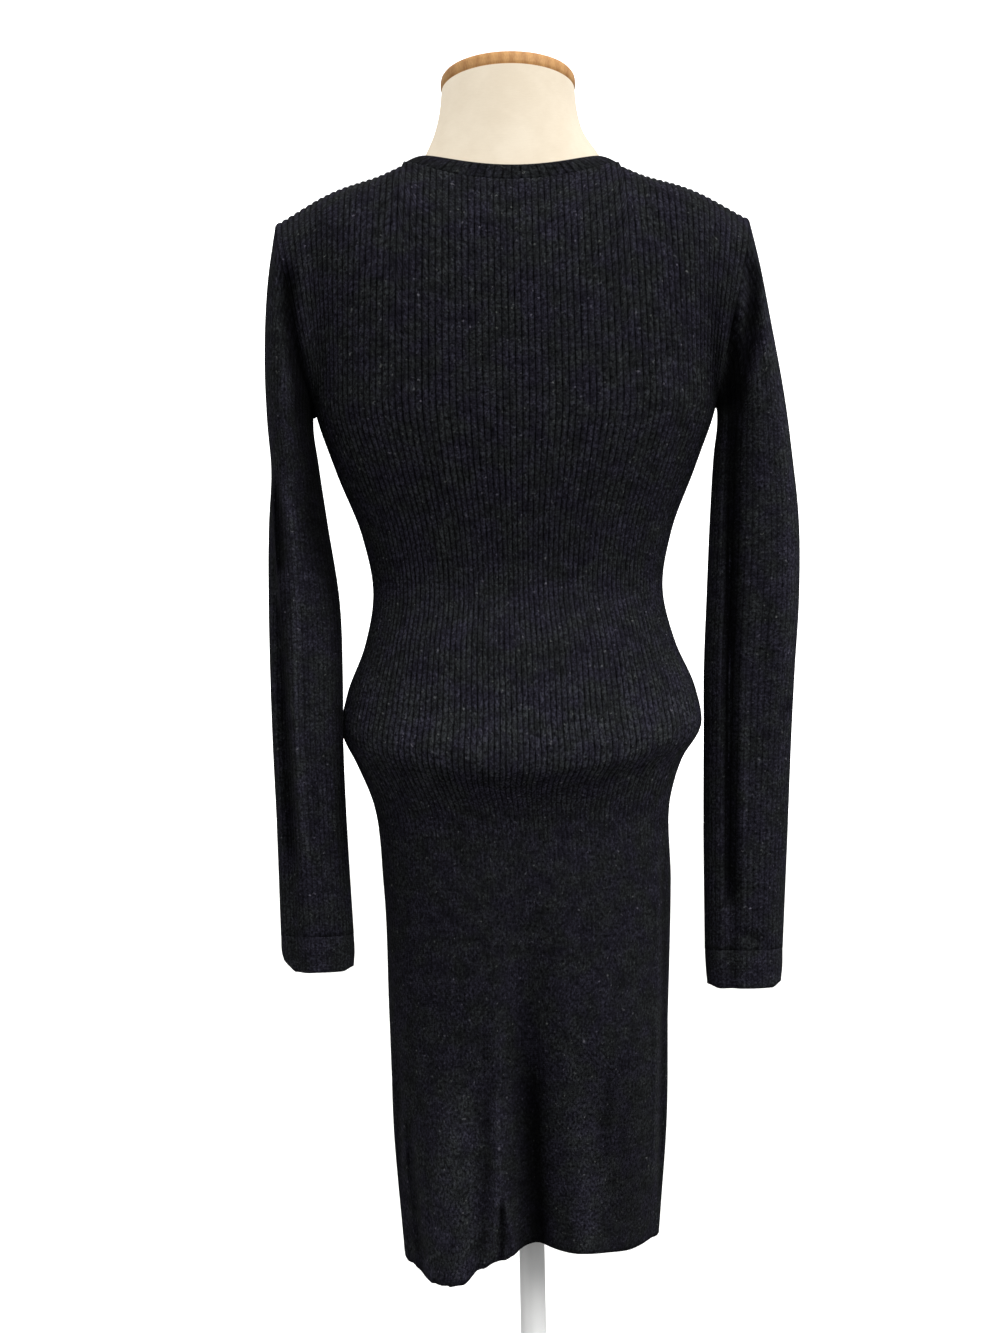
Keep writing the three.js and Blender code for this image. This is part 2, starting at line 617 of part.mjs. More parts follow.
// Turned pieces: a profile of radius and height, closed on the axis.
const turned = (profile, segments = ROUND_SEGMENTS) => {
  const points = profile.map(([radius, height]) => new THREE.Vector2(radius, height));
  const lathe = new THREE.LatheGeometry(points, segments);
  lathe.deleteAttribute('normal');
  lathe.deleteAttribute('uv');
  lathe.rotateX(QUARTER_TURN);
  const merged = mergeVertices(lathe, 1e-4);
  const index = merged.getIndex().array;
  const kept = [];
  for (let i = 0; i < index.length; i += 3) {
    const [a, b, c] = [index[i], index[i + 1], index[i + 2]];
    if (a !== b && b !== c && a !== c) kept.push(a, b, c);
  }
  merged.setIndex(kept);
  return outwards(merged);
};

const capGeometry = () => turned([
  [0, 0],
  [CAP_RADIUS - 3, 0],
  [CAP_RADIUS - 0.8, 1.2],
  [CAP_RADIUS, CAP_EDGE / 2],
  [CAP_RADIUS - 0.8, CAP_EDGE - 1.4],
  [CAP_RADIUS - 3.5, CAP_EDGE],
  [CAP_RADIUS * 0.5, CAP_EDGE + CAP_CROWN * 0.75],
  [0, CAP_EDGE + CAP_CROWN],
]);

const poleFoot = BASE_THICKNESS + BOSS_HEIGHT + SEAM_GAP;
const poleTop = FORM_FOOT_Z - SEAM_GAP;
const poleGeometry = () => turned([
  [0, poleFoot],
  [POLE_RADIUS, poleFoot],
  [POLE_RADIUS, poleTop - FLANGE_THICKNESS - 14],
  [POLE_RADIUS + 7, poleTop - FLANGE_THICKNESS],
  [FLANGE_RADIUS, poleTop - FLANGE_THICKNESS],
  [FLANGE_RADIUS, poleTop],
  [0, poleTop],
]);

const baseGeometry = () => turned([
  [0, 0],
  [BASE_RADIUS - 1, 0],
  [BASE_RADIUS, 1],
  [BASE_RADIUS, BASE_THICKNESS - BASE_EDGE],
  [BASE_RADIUS - BASE_EDGE, BASE_THICKNESS],
  [BOSS_RADIUS + 2, BASE_THICKNESS],
  [BOSS_RADIUS, BASE_THICKNESS + 2],
  [BOSS_RADIUS - 2, BASE_THICKNESS + BOSS_HEIGHT],
  [0, BASE_THICKNESS + BOSS_HEIGHT],
]);

// Finishes
const knit = { color: 0x2b2b2e, roughness: 0.95, metalness: 0 };
const linen = { color: 0xd9d2c2, roughness: 0.9, metalness: 0 };
const wood = { color: 0xb98a4e, roughness: 0.45, metalness: 0 };
const enamel = { color: 0xeeeeec, roughness: 0.4, metalness: 0 };

const dress = new THREE.Group();
const add = (name, geometry, finish) => {
  const mesh = new THREE.Mesh(geometry, new THREE.MeshStandardMaterial(finish));
  mesh.name = name;
  dress.add(mesh);
  return mesh;
};

add('back_panel', panelGeometry('back'), knit);
add('front_panel', panelGeometry('front'), knit);
add('sleeve_left', sleeveGeometry(SLEEVES.left), knit);
add('sleeve_right', sleeveGeometry(SLEEVES.right), knit);
add('cuff_left', cuffGeometry(SLEEVES.left), knit);
add('cuff_right', cuffGeometry(SLEEVES.right), knit);
add('neckband', neckbandGeometry(), knit);
add('form_torso', formGeometry(), linen);
const cap = add('neck_cap', capGeometry(), wood);
cap.position.set(CAP_CENTRE.x, CAP_CENTRE.y, CAP_CENTRE.z);
cap.rotation.x = THREE.MathUtils.degToRad(-CAP_TILT);
add('stand_pole', poleGeometry(), enamel);
add('stand_base', baseGeometry(), enamel);

export default dress;
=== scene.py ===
# %% [markdown]
# # A rib-knit sweater dress on a dress form
#
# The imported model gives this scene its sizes: eleven solids that stand on a round base, with
# the back of the dress facing -Y. Every soft solid is replaced here by a finer piece that
# follows the same sections, so the cloth lies where the solids lie and nothing is fitted.

# %% Load the frame
import math

import bpy
import numpy as np
from mathutils import Matrix, Vector


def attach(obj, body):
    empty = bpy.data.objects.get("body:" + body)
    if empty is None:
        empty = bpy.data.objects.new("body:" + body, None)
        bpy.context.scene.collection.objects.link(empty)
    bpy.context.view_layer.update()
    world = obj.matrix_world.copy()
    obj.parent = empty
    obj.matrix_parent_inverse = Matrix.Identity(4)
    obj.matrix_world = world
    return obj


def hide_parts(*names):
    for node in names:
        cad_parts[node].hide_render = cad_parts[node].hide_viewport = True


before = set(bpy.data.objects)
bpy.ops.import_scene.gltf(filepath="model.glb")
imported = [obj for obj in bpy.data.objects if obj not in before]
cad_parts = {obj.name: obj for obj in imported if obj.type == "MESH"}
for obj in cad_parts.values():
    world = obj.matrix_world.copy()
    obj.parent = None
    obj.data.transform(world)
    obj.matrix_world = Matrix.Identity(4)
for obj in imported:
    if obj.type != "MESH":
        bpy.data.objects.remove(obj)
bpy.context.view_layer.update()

print("solids in the frame:", sorted(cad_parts))

# %% [markdown]
# ## The photograph's camera
#
# The dress was photographed from behind, about level with the waist, from some two and a half
# metres away. The lens follows from that distance and from the width of the shoulders in the
# picture. The dress leans a little in the frame, which is the camera's roll.

# %% Place the camera
IMAGE_HEIGHT = 1333           # pixels
FOCAL_PIXELS = 2759           # focal length in pixels
SENSOR = 36.0                 # mm, along the picture's long side
CAMERA_AT = Vector((-0.0181, -2.4, 0.95))
CAMERA_ROLL = math.radians(-1.1)

camera_data = bpy.data.cameras.new("camera")
camera_data.sensor_width = SENSOR
camera_data.lens = FOCAL_PIXELS / IMAGE_HEIGHT * SENSOR
camera_data.clip_end = 60
camera = bpy.data.objects.new("camera", camera_data)
looking_along_y = Matrix.Rotation(math.pi / 2, 4, "X")
camera.matrix_world = (
    Matrix.Translation(CAMERA_AT) @ looking_along_y @ Matrix.Rotation(CAMERA_ROLL, 4, "Z")
)
bpy.context.scene.collection.objects.link(camera)
bpy.context.scene.camera = camera
print("lens, mm:", round(camera_data.lens, 1))

# %% [markdown]
# ## Floor and light
#
# The picture is a cut-out on white. A pale floor runs out under a white dome that only the
# camera sees, so that the dome doesn't fill the shadows of the dark wool. The light is a
# broad soft lamp high on the camera's side, a weak one from the other side and a sky that
# fades towards the ground: the hips catch the light from above, and the cloth under their
# edge falls into shadow.

# %% Build the floor and the dome
FLOOR_RADIUS = 14.0
FLOOR_WHITE = (0.93, 0.93, 0.92, 1)
DOME_WHITE = (1.0, 1.0, 1.0, 1)


def deselect():
    bpy.ops.object.select_all(action="DESELECT")


def plain_finish(name, colour, glow=0.0):
    material = bpy.data.materials.new(name)
    material.use_nodes = True
    shader = material.node_tree.nodes["Principled BSDF"]
    shader.inputs["Base Color"].default_value = colour
    shader.inputs["Roughness"].default_value = 0.9
    shader.inputs["Emission Color"].default_value = colour
    shader.inputs["Emission Strength"].default_value = glow
    return material


deselect()
bpy.ops.mesh.primitive_circle_add(vertices=96, radius=FLOOR_RADIUS, fill_type="NGON")
floor = bpy.context.active_object
floor.name = "floor"
floor.data.materials.append(plain_finish("floor_white", FLOOR_WHITE))
floor.visible_diffuse = False
floor.visible_glossy = False

deselect()
bpy.ops.mesh.primitive_uv_sphere_add(segments=48, ring_count=24, radius=FLOOR_RADIUS)
dome = bpy.context.active_object
dome.name = "dome"
dome.data.materials.append(plain_finish("dome_white", DOME_WHITE, glow=1.0))
for ray in ("diffuse", "glossy", "transmission", "shadow"):
    setattr(dome, f"visible_{ray}", False)

# %% Light the scene
SUN_STRENGTH = 3.5
SUN_SOFTNESS = math.radians(60)
SUN_FROM = Vector((0.68, -0.6, 0.92))
FILL_STRENGTH = 0.6
FILL_FROM = Vector((-0.9, -0.45, 0.1))
SKY_TOP = 0.95
SKY_BELOW = 0.3
SKY_FADE = (-0.35, 0.9)       # from which height of a ray to which the sky brightens


def add_sun(name, strength, place):
    light = bpy.data.lights.new(name, "SUN")
    light.energy = strength
    light.angle = SUN_SOFTNESS
    lamp = bpy.data.objects.new(name, light)
    lamp.rotation_euler = place.to_track_quat("Z", "Y").to_euler()
    bpy.context.scene.collection.objects.link(lamp)


add_sun("sun", SUN_STRENGTH, SUN_FROM)
add_sun("fill", FILL_STRENGTH, FILL_FROM)

sky = bpy.data.worlds.new("sky")
sky.use_nodes = True
bpy.context.scene.world = sky
tree = sky.node_tree
direction = tree.nodes.new("ShaderNodeTexCoord")
height = tree.nodes.new("ShaderNodeSeparateXYZ")
tree.links.new(direction.outputs["Generated"], height.inputs[0])
ramp = tree.nodes.new("ShaderNodeMapRange")
limits = {"From Min": SKY_FADE[0], "From Max": SKY_FADE[1], "To Min": SKY_BELOW, "To Max": SKY_TOP}
for limit, value in limits.items():
    ramp.inputs[limit].default_value = value
tree.links.new(height.outputs["Z"], ramp.inputs["Value"])
tree.links.new(ramp.outputs["Result"], tree.nodes["Background"].inputs["Strength"])
tree.nodes["Background"].inputs["Color"].default_value = (1.0, 1.0, 1.0, 1)

bpy.context.scene.view_settings.view_transform = "Standard"
print("floor, dome and two suns are in place")

# %% [markdown]
# ## Shader maths
#
# A finish is easier to read as a formula than as a page of linked nodes. One class wraps a
# socket, so that `1 - mask` adds the Math node that it means, and one method adds any other
# node from its settings and the values of its sockets.

# %% Wrap sockets and materials


class Field:
    """A number that varies over the surface."""

    def __init__(self, finish, socket):
        self.finish = finish
        self.socket = socket

    def math(self, operation, *others):
        return self.finish.node("ShaderNodeMath", {"operation": operation}, [self, *others])

    def __add__(self, other):
        return self.math("ADD", other)

    __radd__ = __add__

    def __sub__(self, other):
        return self.math("SUBTRACT", other)

    def __rsub__(self, other):
        return (self * -1) + other

    def __mul__(self, other):
        return self.math("MULTIPLY", other)

    __rmul__ = __mul__


class Finish:
    """A material that is written as formulas on its surface."""

    def __init__(self, name, **sockets):
        self.material = bpy.data.materials.new(name)
        self.material.use_nodes = True
        self.tree = self.material.node_tree
        self.shader = self.tree.nodes["Principled BSDF"]
        for socket, value in sockets.items():
            self.shader.inputs[socket.replace("_", " ")].default_value = value

    def node(self, kind, settings=None, values=(), output=0):
        made = self.tree.nodes.new(kind)
        for name, value in (settings or {}).items():
            setattr(made, name, value)
        shown = [socket for socket in made.inputs if socket.enabled]
        pairs = values.items() if isinstance(values, dict) else enumerate(values)
        for key, value in pairs:
            if isinstance(key, int):
                socket = shown[key]
            else:
                socket = next(one for one in shown if one.name == key)
            if isinstance(value, Field):
                self.tree.links.new(value.socket, socket)
            else:
                socket.default_value = value
        results = [socket for socket in made.outputs if socket.enabled]
        if isinstance(output, int):
            return Field(self, results[output])
        return Field(self, next(one for one in results if one.name == output))

    def uv(self):
        return self.node("ShaderNodeUVMap", {"uv_map": "cloth"})

    def place(self):
        return self.node("ShaderNodeTexCoord", output="Object")

    def parts(self, vector):
        made = self.tree.nodes.new("ShaderNodeSeparateXYZ")
        self.tree.links.new(vector.socket, made.inputs[0])
        return [Field(self, socket) for socket in made.outputs]

    def vector(self, x, y, z=0.0):
        return self.node("ShaderNodeCombineXYZ", values=[x, y, z])

    def noise(self, vector, scale, detail=2.0, roughness=0.5):
        values = {"Vector": vector, "Scale": scale, "Detail": detail, "Roughness": roughness}
        return self.node("ShaderNodeTexNoise", values=values)

    def range(self, value, low, high, to_low=0.0, to_high=1.0):
        return self.node("ShaderNodeMapRange", values=[value, low, high, to_low, to_high])

    def blend(self, share, first, second, how="MIX"):
        settings = {"data_type": "RGBA", "blend_type": how}
        return self.node("ShaderNodeMix", settings, {"Factor": share, "A": first, "B": second})

    def bump(self, height, strength, distance):
        values = {"Height": height, "Strength": strength, "Distance": distance}
        normal = self.node("ShaderNodeBump", values=values)
        self.link("Normal", normal)

    def link(self, socket, field):
        self.tree.links.new(field.socket, self.shader.inputs[socket])


def grey(value, tint=(1.0, 1.0, 1.0)):
    return tuple(value * part for part in tint) + (1.0,)


print("shader helpers are ready")

# %% [markdown]
# ## The charcoal melange
#
# The yarn is spun from black and grey wool, so no two stitches have the same tone: short
# light flecks run along the courses over a near-black ground. The flecks are noise that is
# stretched along the courses in the cloth's own UV map, and every stitch also has a tone of
# its own. The V of each stitch is bump, because it is finer than a wall can carry, while the
# ribs are real walls. The furrows between the ribs show darker purl stitches, and their dark is
# also painted shade in the colour; the legs of each stitch are painted a little lighter than
# the gaps between them, which is painted shade as well.

# %% Mix the knit finish
WOOL_TINT = (0.9, 0.95, 1.17)
WOOL_BLACK = grey(0.0015, WOOL_TINT)
WOOL_GREY = grey(0.034, WOOL_TINT)
WOOL_LIGHT = grey(0.12, (0.96, 0.98, 1.06))
WOOL_VIOLET = (1.02, 0.93, 1.12, 1)
WOOL_GREEN = (1.0, 1.03, 0.9, 1)
LINT = grey(0.55)
LINT_SIZE = 0.034             # share of a cell of the lint pattern
LINT_RARITY = 0.98            # share of the cells that stay clean
LINT_SCALE = 34.0
DYE_SCALE = 42.0
FIBRE_SCALE = 640.0
HAIR_SCALE = 900.0
STITCH_RISE = 0.0004          # m
RIBS_FADE = (0.775, 0.85)     # m above the ground: below the hip edge the ribs sink


def knit_finish(name, wales, courses, ribs, furrow, level=1.0, fades=False):
    """wales, courses and ribs are counts over the piece, furrow how dark the furrows between ribs are
    painted: purl stitches' tone and painted shade.
    """
    wool = Finish(name, Roughness=0.95, Specular_IOR_Level=0.01, Sheen_Weight=0.008,
                  Sheen_Roughness=0.5)
    across, along, _ = wool.parts(wool.uv())
    wale = across * wales
    course = along * courses
    leg = (wale.math("FRACT") - 0.5).math("ABSOLUTE") * 2
    rising = course + leg * 0.7
    stitch = (rising.math("FRACT") * math.pi).math("SINE") * (1 - leg * leg * 0.6)
    tone = wool.node("ShaderNodeTexWhiteNoise", {"noise_dimensions": "2D"},
                     [wool.vector(wale.math("FLOOR"), rising.math("FLOOR"))])
    fleck = wool.noise(wool.vector(wale * 0.75, course * 0.62), 1.0, 2.0, 0.6)
    fibre = wool.noise(wool.place(), FIBRE_SCALE, 2.0, 0.6)
    patch = wool.noise(wool.vector(wale * 0.1, course * 0.12, 3.0), 1.0, 2.0, 0.6)
    light = wool.range(fleck, 0.33, 0.72) * (0.25 + tone * 0.8)
    light = light + wool.range(fibre, 0.45, 0.7) * 0.32
    # The legs of each stitch are painted lighter than the gaps between them: painted shade in the
    # gaps.
    light = light * wool.range(patch, 0.25, 0.75, 0.5, 1.4) + wool.range(stitch, 0.2, 0.9) * 0.1
    colour = wool.blend(light * level, WOOL_BLACK, WOOL_GREY)
    speck = wool.noise(wool.vector(wale * 0.4, course * 0.45, 7.0), 1.0, 1.0, 0.5)
    bright = wool.range(speck, 0.66, 0.8) * wool.range(tone, 0.4, 0.95)
    colour = wool.blend(bright * level, colour, WOOL_LIGHT)

    # The furrows between the ribs are painted darker, unevenly from rib to rib: partly the purl
    # stitches' own tone, partly painted shade.
    rib = (across * ribs * math.pi).math("SINE").math("ABSOLUTE")
    each = (across * ribs + 0.5).math("FLOOR") * 3.7
    uneven_furrow_shade = wool.noise(wool.vector(each, course * 0.09, 5.0), 1.0, 2.0, 0.6)
    depth = wool.range(uneven_furrow_shade, 0.3, 0.7, 0.55, 1.1) * furrow
    plain = 0.0
    if fades:
        _, _, height = wool.parts(wool.place())
        plain = wool.range(height, *RIBS_FADE, 1.0, 0.0)
        depth = depth * (1 - plain * 0.84)
    # Below the hip edge the skirt is also painted a quarter darker: painted shade.
    shade = (1 - (1 - wool.range(rib, 0.0, 0.66)) * depth) * (1 - plain * 0.25)
    # The crease attribute is painted into the colour: troughs darker as painted shade, ridges and hips
    # lighter as painted light.
    painted_shading = wool.node("ShaderNodeAttribute", {"attribute_name": "painted_shading"}, output="Fac")
    shade = shade * wool.range(painted_shading, -0.5, 0.0, 1.5, 1.0)
    shade = shade * wool.range(painted_shading, 0.0, 1.0, 1.0, 0.26)
    shadow = wool.node("ShaderNodeCombineColor", values=[shade, shade, shade])
    colour = wool.blend(1.0, colour, shadow, "MULTIPLY")
    dye = wool.range(wool.noise(wool.place(), DYE_SCALE, 2.0, 0.6), 0.38, 0.62)
    colour = wool.blend(1.0, colour, wool.blend(dye, WOOL_VIOLET, WOOL_GREEN), "MULTIPLY")

    cells = {"Vector": wool.place(), "Scale": LINT_SCALE}
    near = wool.node("ShaderNodeTexVoronoi", values=cells)
    lot = wool.node("ShaderNodeTexVoronoi", values=cells, output="Color")
    chosen = wool.parts(lot)[0].math("GREATER_THAN", LINT_RARITY)
    colour = wool.blend(near.math("LESS_THAN", LINT_SIZE) * chosen, colour, LINT)
    wool.link("Base Color", colour)
    hairs = wool.noise(wool.place(), HAIR_SCALE, 2.0, 0.7)
    wool.bump(stitch + hairs * 0.6, 0.6, STITCH_RISE)
    return wool.material


print("wool tones:", WOOL_BLACK, WOOL_GREY, WOOL_LIGHT)

# %% [markdown]
# ## Surfaces from sections
#
# A knitted dress on a form is a smooth skin between a few level sections: hem, skirt, hips,
# waist, underarm and shoulders. The sizes below are the solids' own, in millimetres. A curve
# through the sections gives as many rows as the cloth needs, and each wall is an outer skin
# with the ribs raised in it over a plain inner skin, closed by rims.

# %% Curves and humps
MM = 0.001


def smooth(share):
    t = np.clip(share, 0, 1)
    return t * t * (3 - 2 * t)


def hump(offset, half):
    t = np.minimum(1, np.abs(offset / half))
    return (1 - t * t) ** 2


def mix(a, b, share):
    return a + (b - a) * share


def curve_through(stations, steps):
    """Rows on a smooth curve through stations, an array of (station, column, xyz).

    Returns the rows and, for each, its place counted in stations."""
    apart = np.maximum(np.linalg.norm(np.diff(stations, axis=0), axis=2), 1e-3)[..., None]
    slope = np.diff(stations, axis=0) / apart
    tangent = np.empty_like(stations)
    tangent[0] = slope[0]
    tangent[-1] = slope[-1]
    both = apart[:-1] + apart[1:]
    tangent[1:-1] = (slope[:-1] * apart[1:] + slope[1:] * apart[:-1]) / both
    rows = []
    places = []
    for k, count in enumerate(steps):
        last = k == len(steps) - 1
        for t in np.arange(count + (1 if last else 0)) / count:
            rows.append(
                (2 * t**3 - 3 * t**2 + 1) * stations[k]
                + (t**3 - 2 * t**2 + t) * apart[k] * tangent[k]
                + (3 * t**2 - 2 * t**3) * stations[k + 1]
                + (t**3 - t**2) * apart[k] * tangent[k + 1]
            )
            places.append(k + t)
    return np.array(rows), np.array(places)


def steps_for(stations, pitch):
    """How many rows each stretch between two stations needs at that pitch."""
    lengths = np.linalg.norm(np.diff(stations, axis=0), axis=2).mean(axis=1)
    return [max(2, int(round(length / pitch))) for length in lengths]


def normals_of(grid, closed, sign=1):
    if closed:
        across = np.roll(grid, -1, axis=1) - np.roll(grid, 1, axis=1)
    else:
        across = np.gradient(grid, axis=1)
    along = np.gradient(grid, axis=0)
    normal = np.cross(across, along) * sign
    return normal / np.maximum(np.linalg.norm(normal, axis=2, keepdims=True), 1e-9)


# %% Walls
def skin_faces(first, rows, columns, closed, flip):
    """Quads of a grid of vertices, with their corners' UV places as (column, row)."""
    spans = columns if closed else columns - 1
    j, i = np.meshgrid(np.arange(rows - 1), np.arange(spans), indexing="ij")
    corners = [(i, j), (i + 1, j), (i + 1, j + 1), (i, j + 1)]
    if flip:
        corners.reverse()
    ids = [first + cj * columns + ci % columns for ci, cj in corners]
    quads = np.stack(ids, axis=-1).reshape(-1, 4)
    spots = [np.stack([ci / spans, cj / (rows - 1)], axis=-1) for ci, cj in corners]
    places = np.stack(spots, axis=-2)
    return quads.tolist(), places.reshape(-1, 4, 2)


def wall(name, outer, inner, closed, flip=False, painted_shading=None):
    """A closed wall in metres between two grids in mm. The inner grid may have fewer columns."""
    rows, columns = outer.shape[:2]
    inner_columns = inner.shape[1]
    step = columns // inner_columns if closed else (columns - 1) // (inner_columns - 1)
    inside = rows * columns
    faces, places = skin_faces(0, rows, columns, closed, flip)
    inner_faces, inner_places = skin_faces(inside, rows, inner_columns, closed, not flip)
    corners = [places.reshape(-1, 2), inner_places.reshape(-1, 2)]
    faces += inner_faces
    skins = len(faces)
    spans = inner_columns if closed else inner_columns - 1
    for j, turn in ((0, flip), (rows - 1, not flip)):
        for i in range(spans):
            k = (i + 1) % inner_columns
            outer_ids = [j * columns + (i * step + n) % columns for n in range(step + 1)]
            first = inside + j * inner_columns
            face = [first + i, first + k, *reversed(outer_ids)]
            u = [i / spans, (i + 1) / spans, *[(i + n / step) / spans for n in range(step, -1, -1)]]
            if turn:
                face.reverse()
                u.reverse()
            faces.append(face)
            corners.append(np.array([[one, j / (rows - 1)] for one in u]))
    if not closed:
        for end, turn in ((0, not flip), (1, flip)):
            for j in range(rows - 1):
                a = j * columns + end * (columns - 1)
                b = inside + j * inner_columns + end * (inner_columns - 1)
                face = [a, b, b + inner_columns, a + columns]
                v = [j, j, j + 1, j + 1]
                if turn:
                    face.reverse()
                    v.reverse()
                faces.append(face)
                corners.append(np.array([[end, one / (rows - 1)] for one in v]))
    points = np.concatenate([outer.reshape(-1, 3), inner.reshape(-1, 3)]) * MM
    mesh = bpy.data.meshes.new(name)
    mesh.from_pydata(points.tolist(), [], faces)
    layer = mesh.uv_layers.new(name="cloth")
    layer.uv.foreach_set("vector", np.concatenate(corners).astype(np.float32).ravel())
    mesh.polygons.foreach_set("use_smooth", np.arange(len(faces)) < skins)
    # The crease depths go on the points as an attribute that the wool paints as shade and light.
    depths = np.zeros(len(points), dtype=np.float32)
    if painted_shading is not None:
        depths[:painted_shading.size] = painted_shading.ravel()
    mesh.attributes.new("painted_shading", "FLOAT", "POINT").data.foreach_set("value", depths)
    piece = bpy.data.objects.new(name, mesh)
    bpy.context.scene.collection.objects.link(piece)
    triangles = sum(len(face) - 2 for face in faces)
    print(name, "rows", rows, "columns", columns, "triangles", triangles)
    return piece


def stand_in(piece, node, material):
    """Gives a piece its finish, and puts it in the place of a solid."""
    piece.data.materials.append(material)
    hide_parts(node)
    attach(piece, "root")


# %% [markdown]
# ## The body's sections
#
# Each section is half a rounded ellipse from side seam to side seam, spaced evenly along the
# cloth, so that the ribs spread over the hips and close up at the waist as they do in the
# knit. Above the underarm the cloth rises in a soft curve to the line of the shoulders, and
# the neckline cuts that curve short.

# %% Sizes of the body
SEAM_GAP = 0.3                # mm between hard pieces
PANEL_GAP = 0.02              # sewn pieces lie closer, so that no light shows through a seam
SECTION_SQUARE = 0.07
BODY_ROWS = [
    # at, z, left, right, back, front, back drop, front drop, rib
    ("hem", 469, 110, 109, 90, 92, 0, 0, 0.14),
    ("low skirt", 548, 117, 117, 95, 96, 6, 3, 0.14),
    ("skirt", 650, 120, 122, 97, 98, 4, 2, 0.16),
    ("high skirt", 760, 122.5, 126.5, 98, 99, 4, 2, 0.26),
    ("shelf foot", 838, 131, 128, 99, 99, 3, 2, 0.6),
    ("shelf turn", 868, 143, 137.5, 105, 103, 21, 12, 0.9),
    ("hip edge", 897, 155.5, 154.5, 118, 108, 34, 20, 1),
    ("hip", 927, 150.5, 150.5, 114.5, 110, 20, 12, 1),
    ("high hip", 970, 134, 133, 102, 104, 6, 4, 1),
    ("waist", 1015, 126, 123.5, 78, 93, 0, 0, 1),
    ("lower back", 1065, 134.5, 132, 82, 100, 0, 0, 1),
    ("rib cage", 1120, 155.5, 153.5, 94, 114, 0, 0, 1),
    ("underarm", 1172, 172.8, 172.5, 101, 123, 0, 0, 1),
]
SHOULDER_X = 206
SHOULDER_Z = 1337
NECK_X = 94
NECK_Z = 1385
NECK_TILT = -0.021
LEFT_CROWN = 5
RIGHT_CROWN = 5
RIGHT_FALL = 3
NECK_SHARE = NECK_X / SHOULDER_X
YOKE_STEPS = [0.14, 0.32, 0.54, 0.78, 1]
YOKE_MIDDLE = 0.75
YOKE_EDGE = 0.72
FACES = {
    "back": dict(sign=-1, neck_cut=0.3, rise=62, depth=92, swell=22, dip=-23, arm_bow=70,
                 arm_lift=20, arm_depth=58, arm_dip=14),
    "front": dict(sign=1, neck_cut=0.4, rise=66, depth=86, swell=17.5, dip=65.5, arm_bow=62,
                  arm_lift=18, arm_depth=56, arm_dip=14),
}
HEM_LINE = {  # across and how far the hem hangs below the foot of the side seams
    "back": [(-1, 1), (-0.9, 18), (-0.78, 28), (-0.6, 36), (-0.47, 39), (-0.36, 36), (-0.26, 23),
             (-0.18, 17), (0, 7), (0.25, 12), (0.55, 15), (0.8, 11), (1, 1)],
    "front": [(-1, 1), (-0.55, 12), (0.1, 5), (0.6, 13), (1, 1)],
}


# %% Points of the body
def hem_drop(face, across):
    places, drops = zip(*HEM_LINE[face])
    k = np.clip(np.searchsorted(places, across), 1, len(places) - 1)
    places = np.array(places)
    drops = np.array(drops)
    share = (across - places[k - 1]) / (places[k] - places[k - 1])
    return mix(drops[k - 1], drops[k], smooth(share))


def body_points(face, across, row):
    at, z, left, right, back, front, back_drop, front_drop, _ = row
    sign = FACES[face]["sign"]
    half = (left + right) / 2
    depth = back if face == "back" else front
    drop = back_drop if face == "back" else front_drop
    evening = (half - depth) / ((half + depth) * math.pi)
    turn = math.pi / 2 * (across - evening * np.sin(math.pi * across))
    sine = np.sin(turn)
    cosine = np.cos(turn)
    x = (right - left) / 2 + half * sine * (1 + SECTION_SQUARE * cosine**2)
    y = sign * (depth * cosine * (1 + SECTION_SQUARE * sine**2) + PANEL_GAP / 2)
    level = z - (hem_drop(face, across) if at == "hem" else drop * cosine**2)
    return np.stack([x, y, level], axis=-1)


def neck_share(across):
    share = np.minimum(1, np.abs(across) / NECK_SHARE)
    return np.sqrt(1 - share * share)


def yoke_points(face, across, up):
    size = FACES[face]
    start = body_points(face, across, BODY_ROWS[-1])
    x = SHOULDER_X * across
    outside = np.maximum(0, np.abs(across) - NECK_SHARE) / (1 - NECK_SHARE)
    crown = np.where(across < 0, LEFT_CROWN, RIGHT_CROWN) * hump(outside - 0.57, 0.43)
    shoulder_z = SHOULDER_Z - np.where(across > 0, RIGHT_FALL, 0)
    ridge = mix(NECK_Z + NECK_TILT * np.clip(x, -NECK_X, NECK_X), shoulder_z, outside) + crown
    centre = hump(across, YOKE_MIDDLE)
    edge = smooth((np.abs(across) - YOKE_EDGE) / (1 - YOKE_EDGE))
    depth = mix(size["depth"] + size["swell"] * centre, size["arm_depth"], edge)
    dip = size["dip"] * centre + size["arm_dip"] * edge
    first = start.copy()
    first[:, 1] += size["sign"] * size["arm_bow"] * edge**2
    first[:, 2] += mix(size["rise"], size["arm_lift"], edge**2)
    second = np.stack([x, size["sign"] * depth, ridge - dip], axis=-1)
    end = np.stack([x, np.full_like(x, size["sign"] * PANEL_GAP / 2), ridge], axis=-1)
    t = (up * (1 - size["neck_cut"] * neck_share(across)))[:, None]
    return (1 - t)**3 * start + 3 * (1 - t)**2 * t * first + 3 * (1 - t) * t**2 * second + t**3 * end


def shoulder_normal(side):
    slope = math.atan2(NECK_Z - SHOULDER_Z, SHOULDER_X - NECK_X)
    return np.array([side * math.sin(slope), 0, math.cos(slope)])


def top_normals(face, across):
    share = neck_share(across)[:, None]
    outward = np.array([0, FACES[face]["sign"] * 0.94, 0.34])
    upward = np.stack([shoulder_normal(side) for side in np.sign(across)])
    normal = mix(upward, outward, share)
    return normal / np.linalg.norm(normal, axis=1, keepdims=True)


# %% [markdown]
# ## The folds of the skirt
#
# Below the hip edge the skirt hangs free and falls into a few soft folds: a long dark trough
# down the middle of the back, a lobe at the left of the hem, and narrow pleats where the
# sides curl forwards. Each fold is a soft hump across the cloth that grows on its way down.

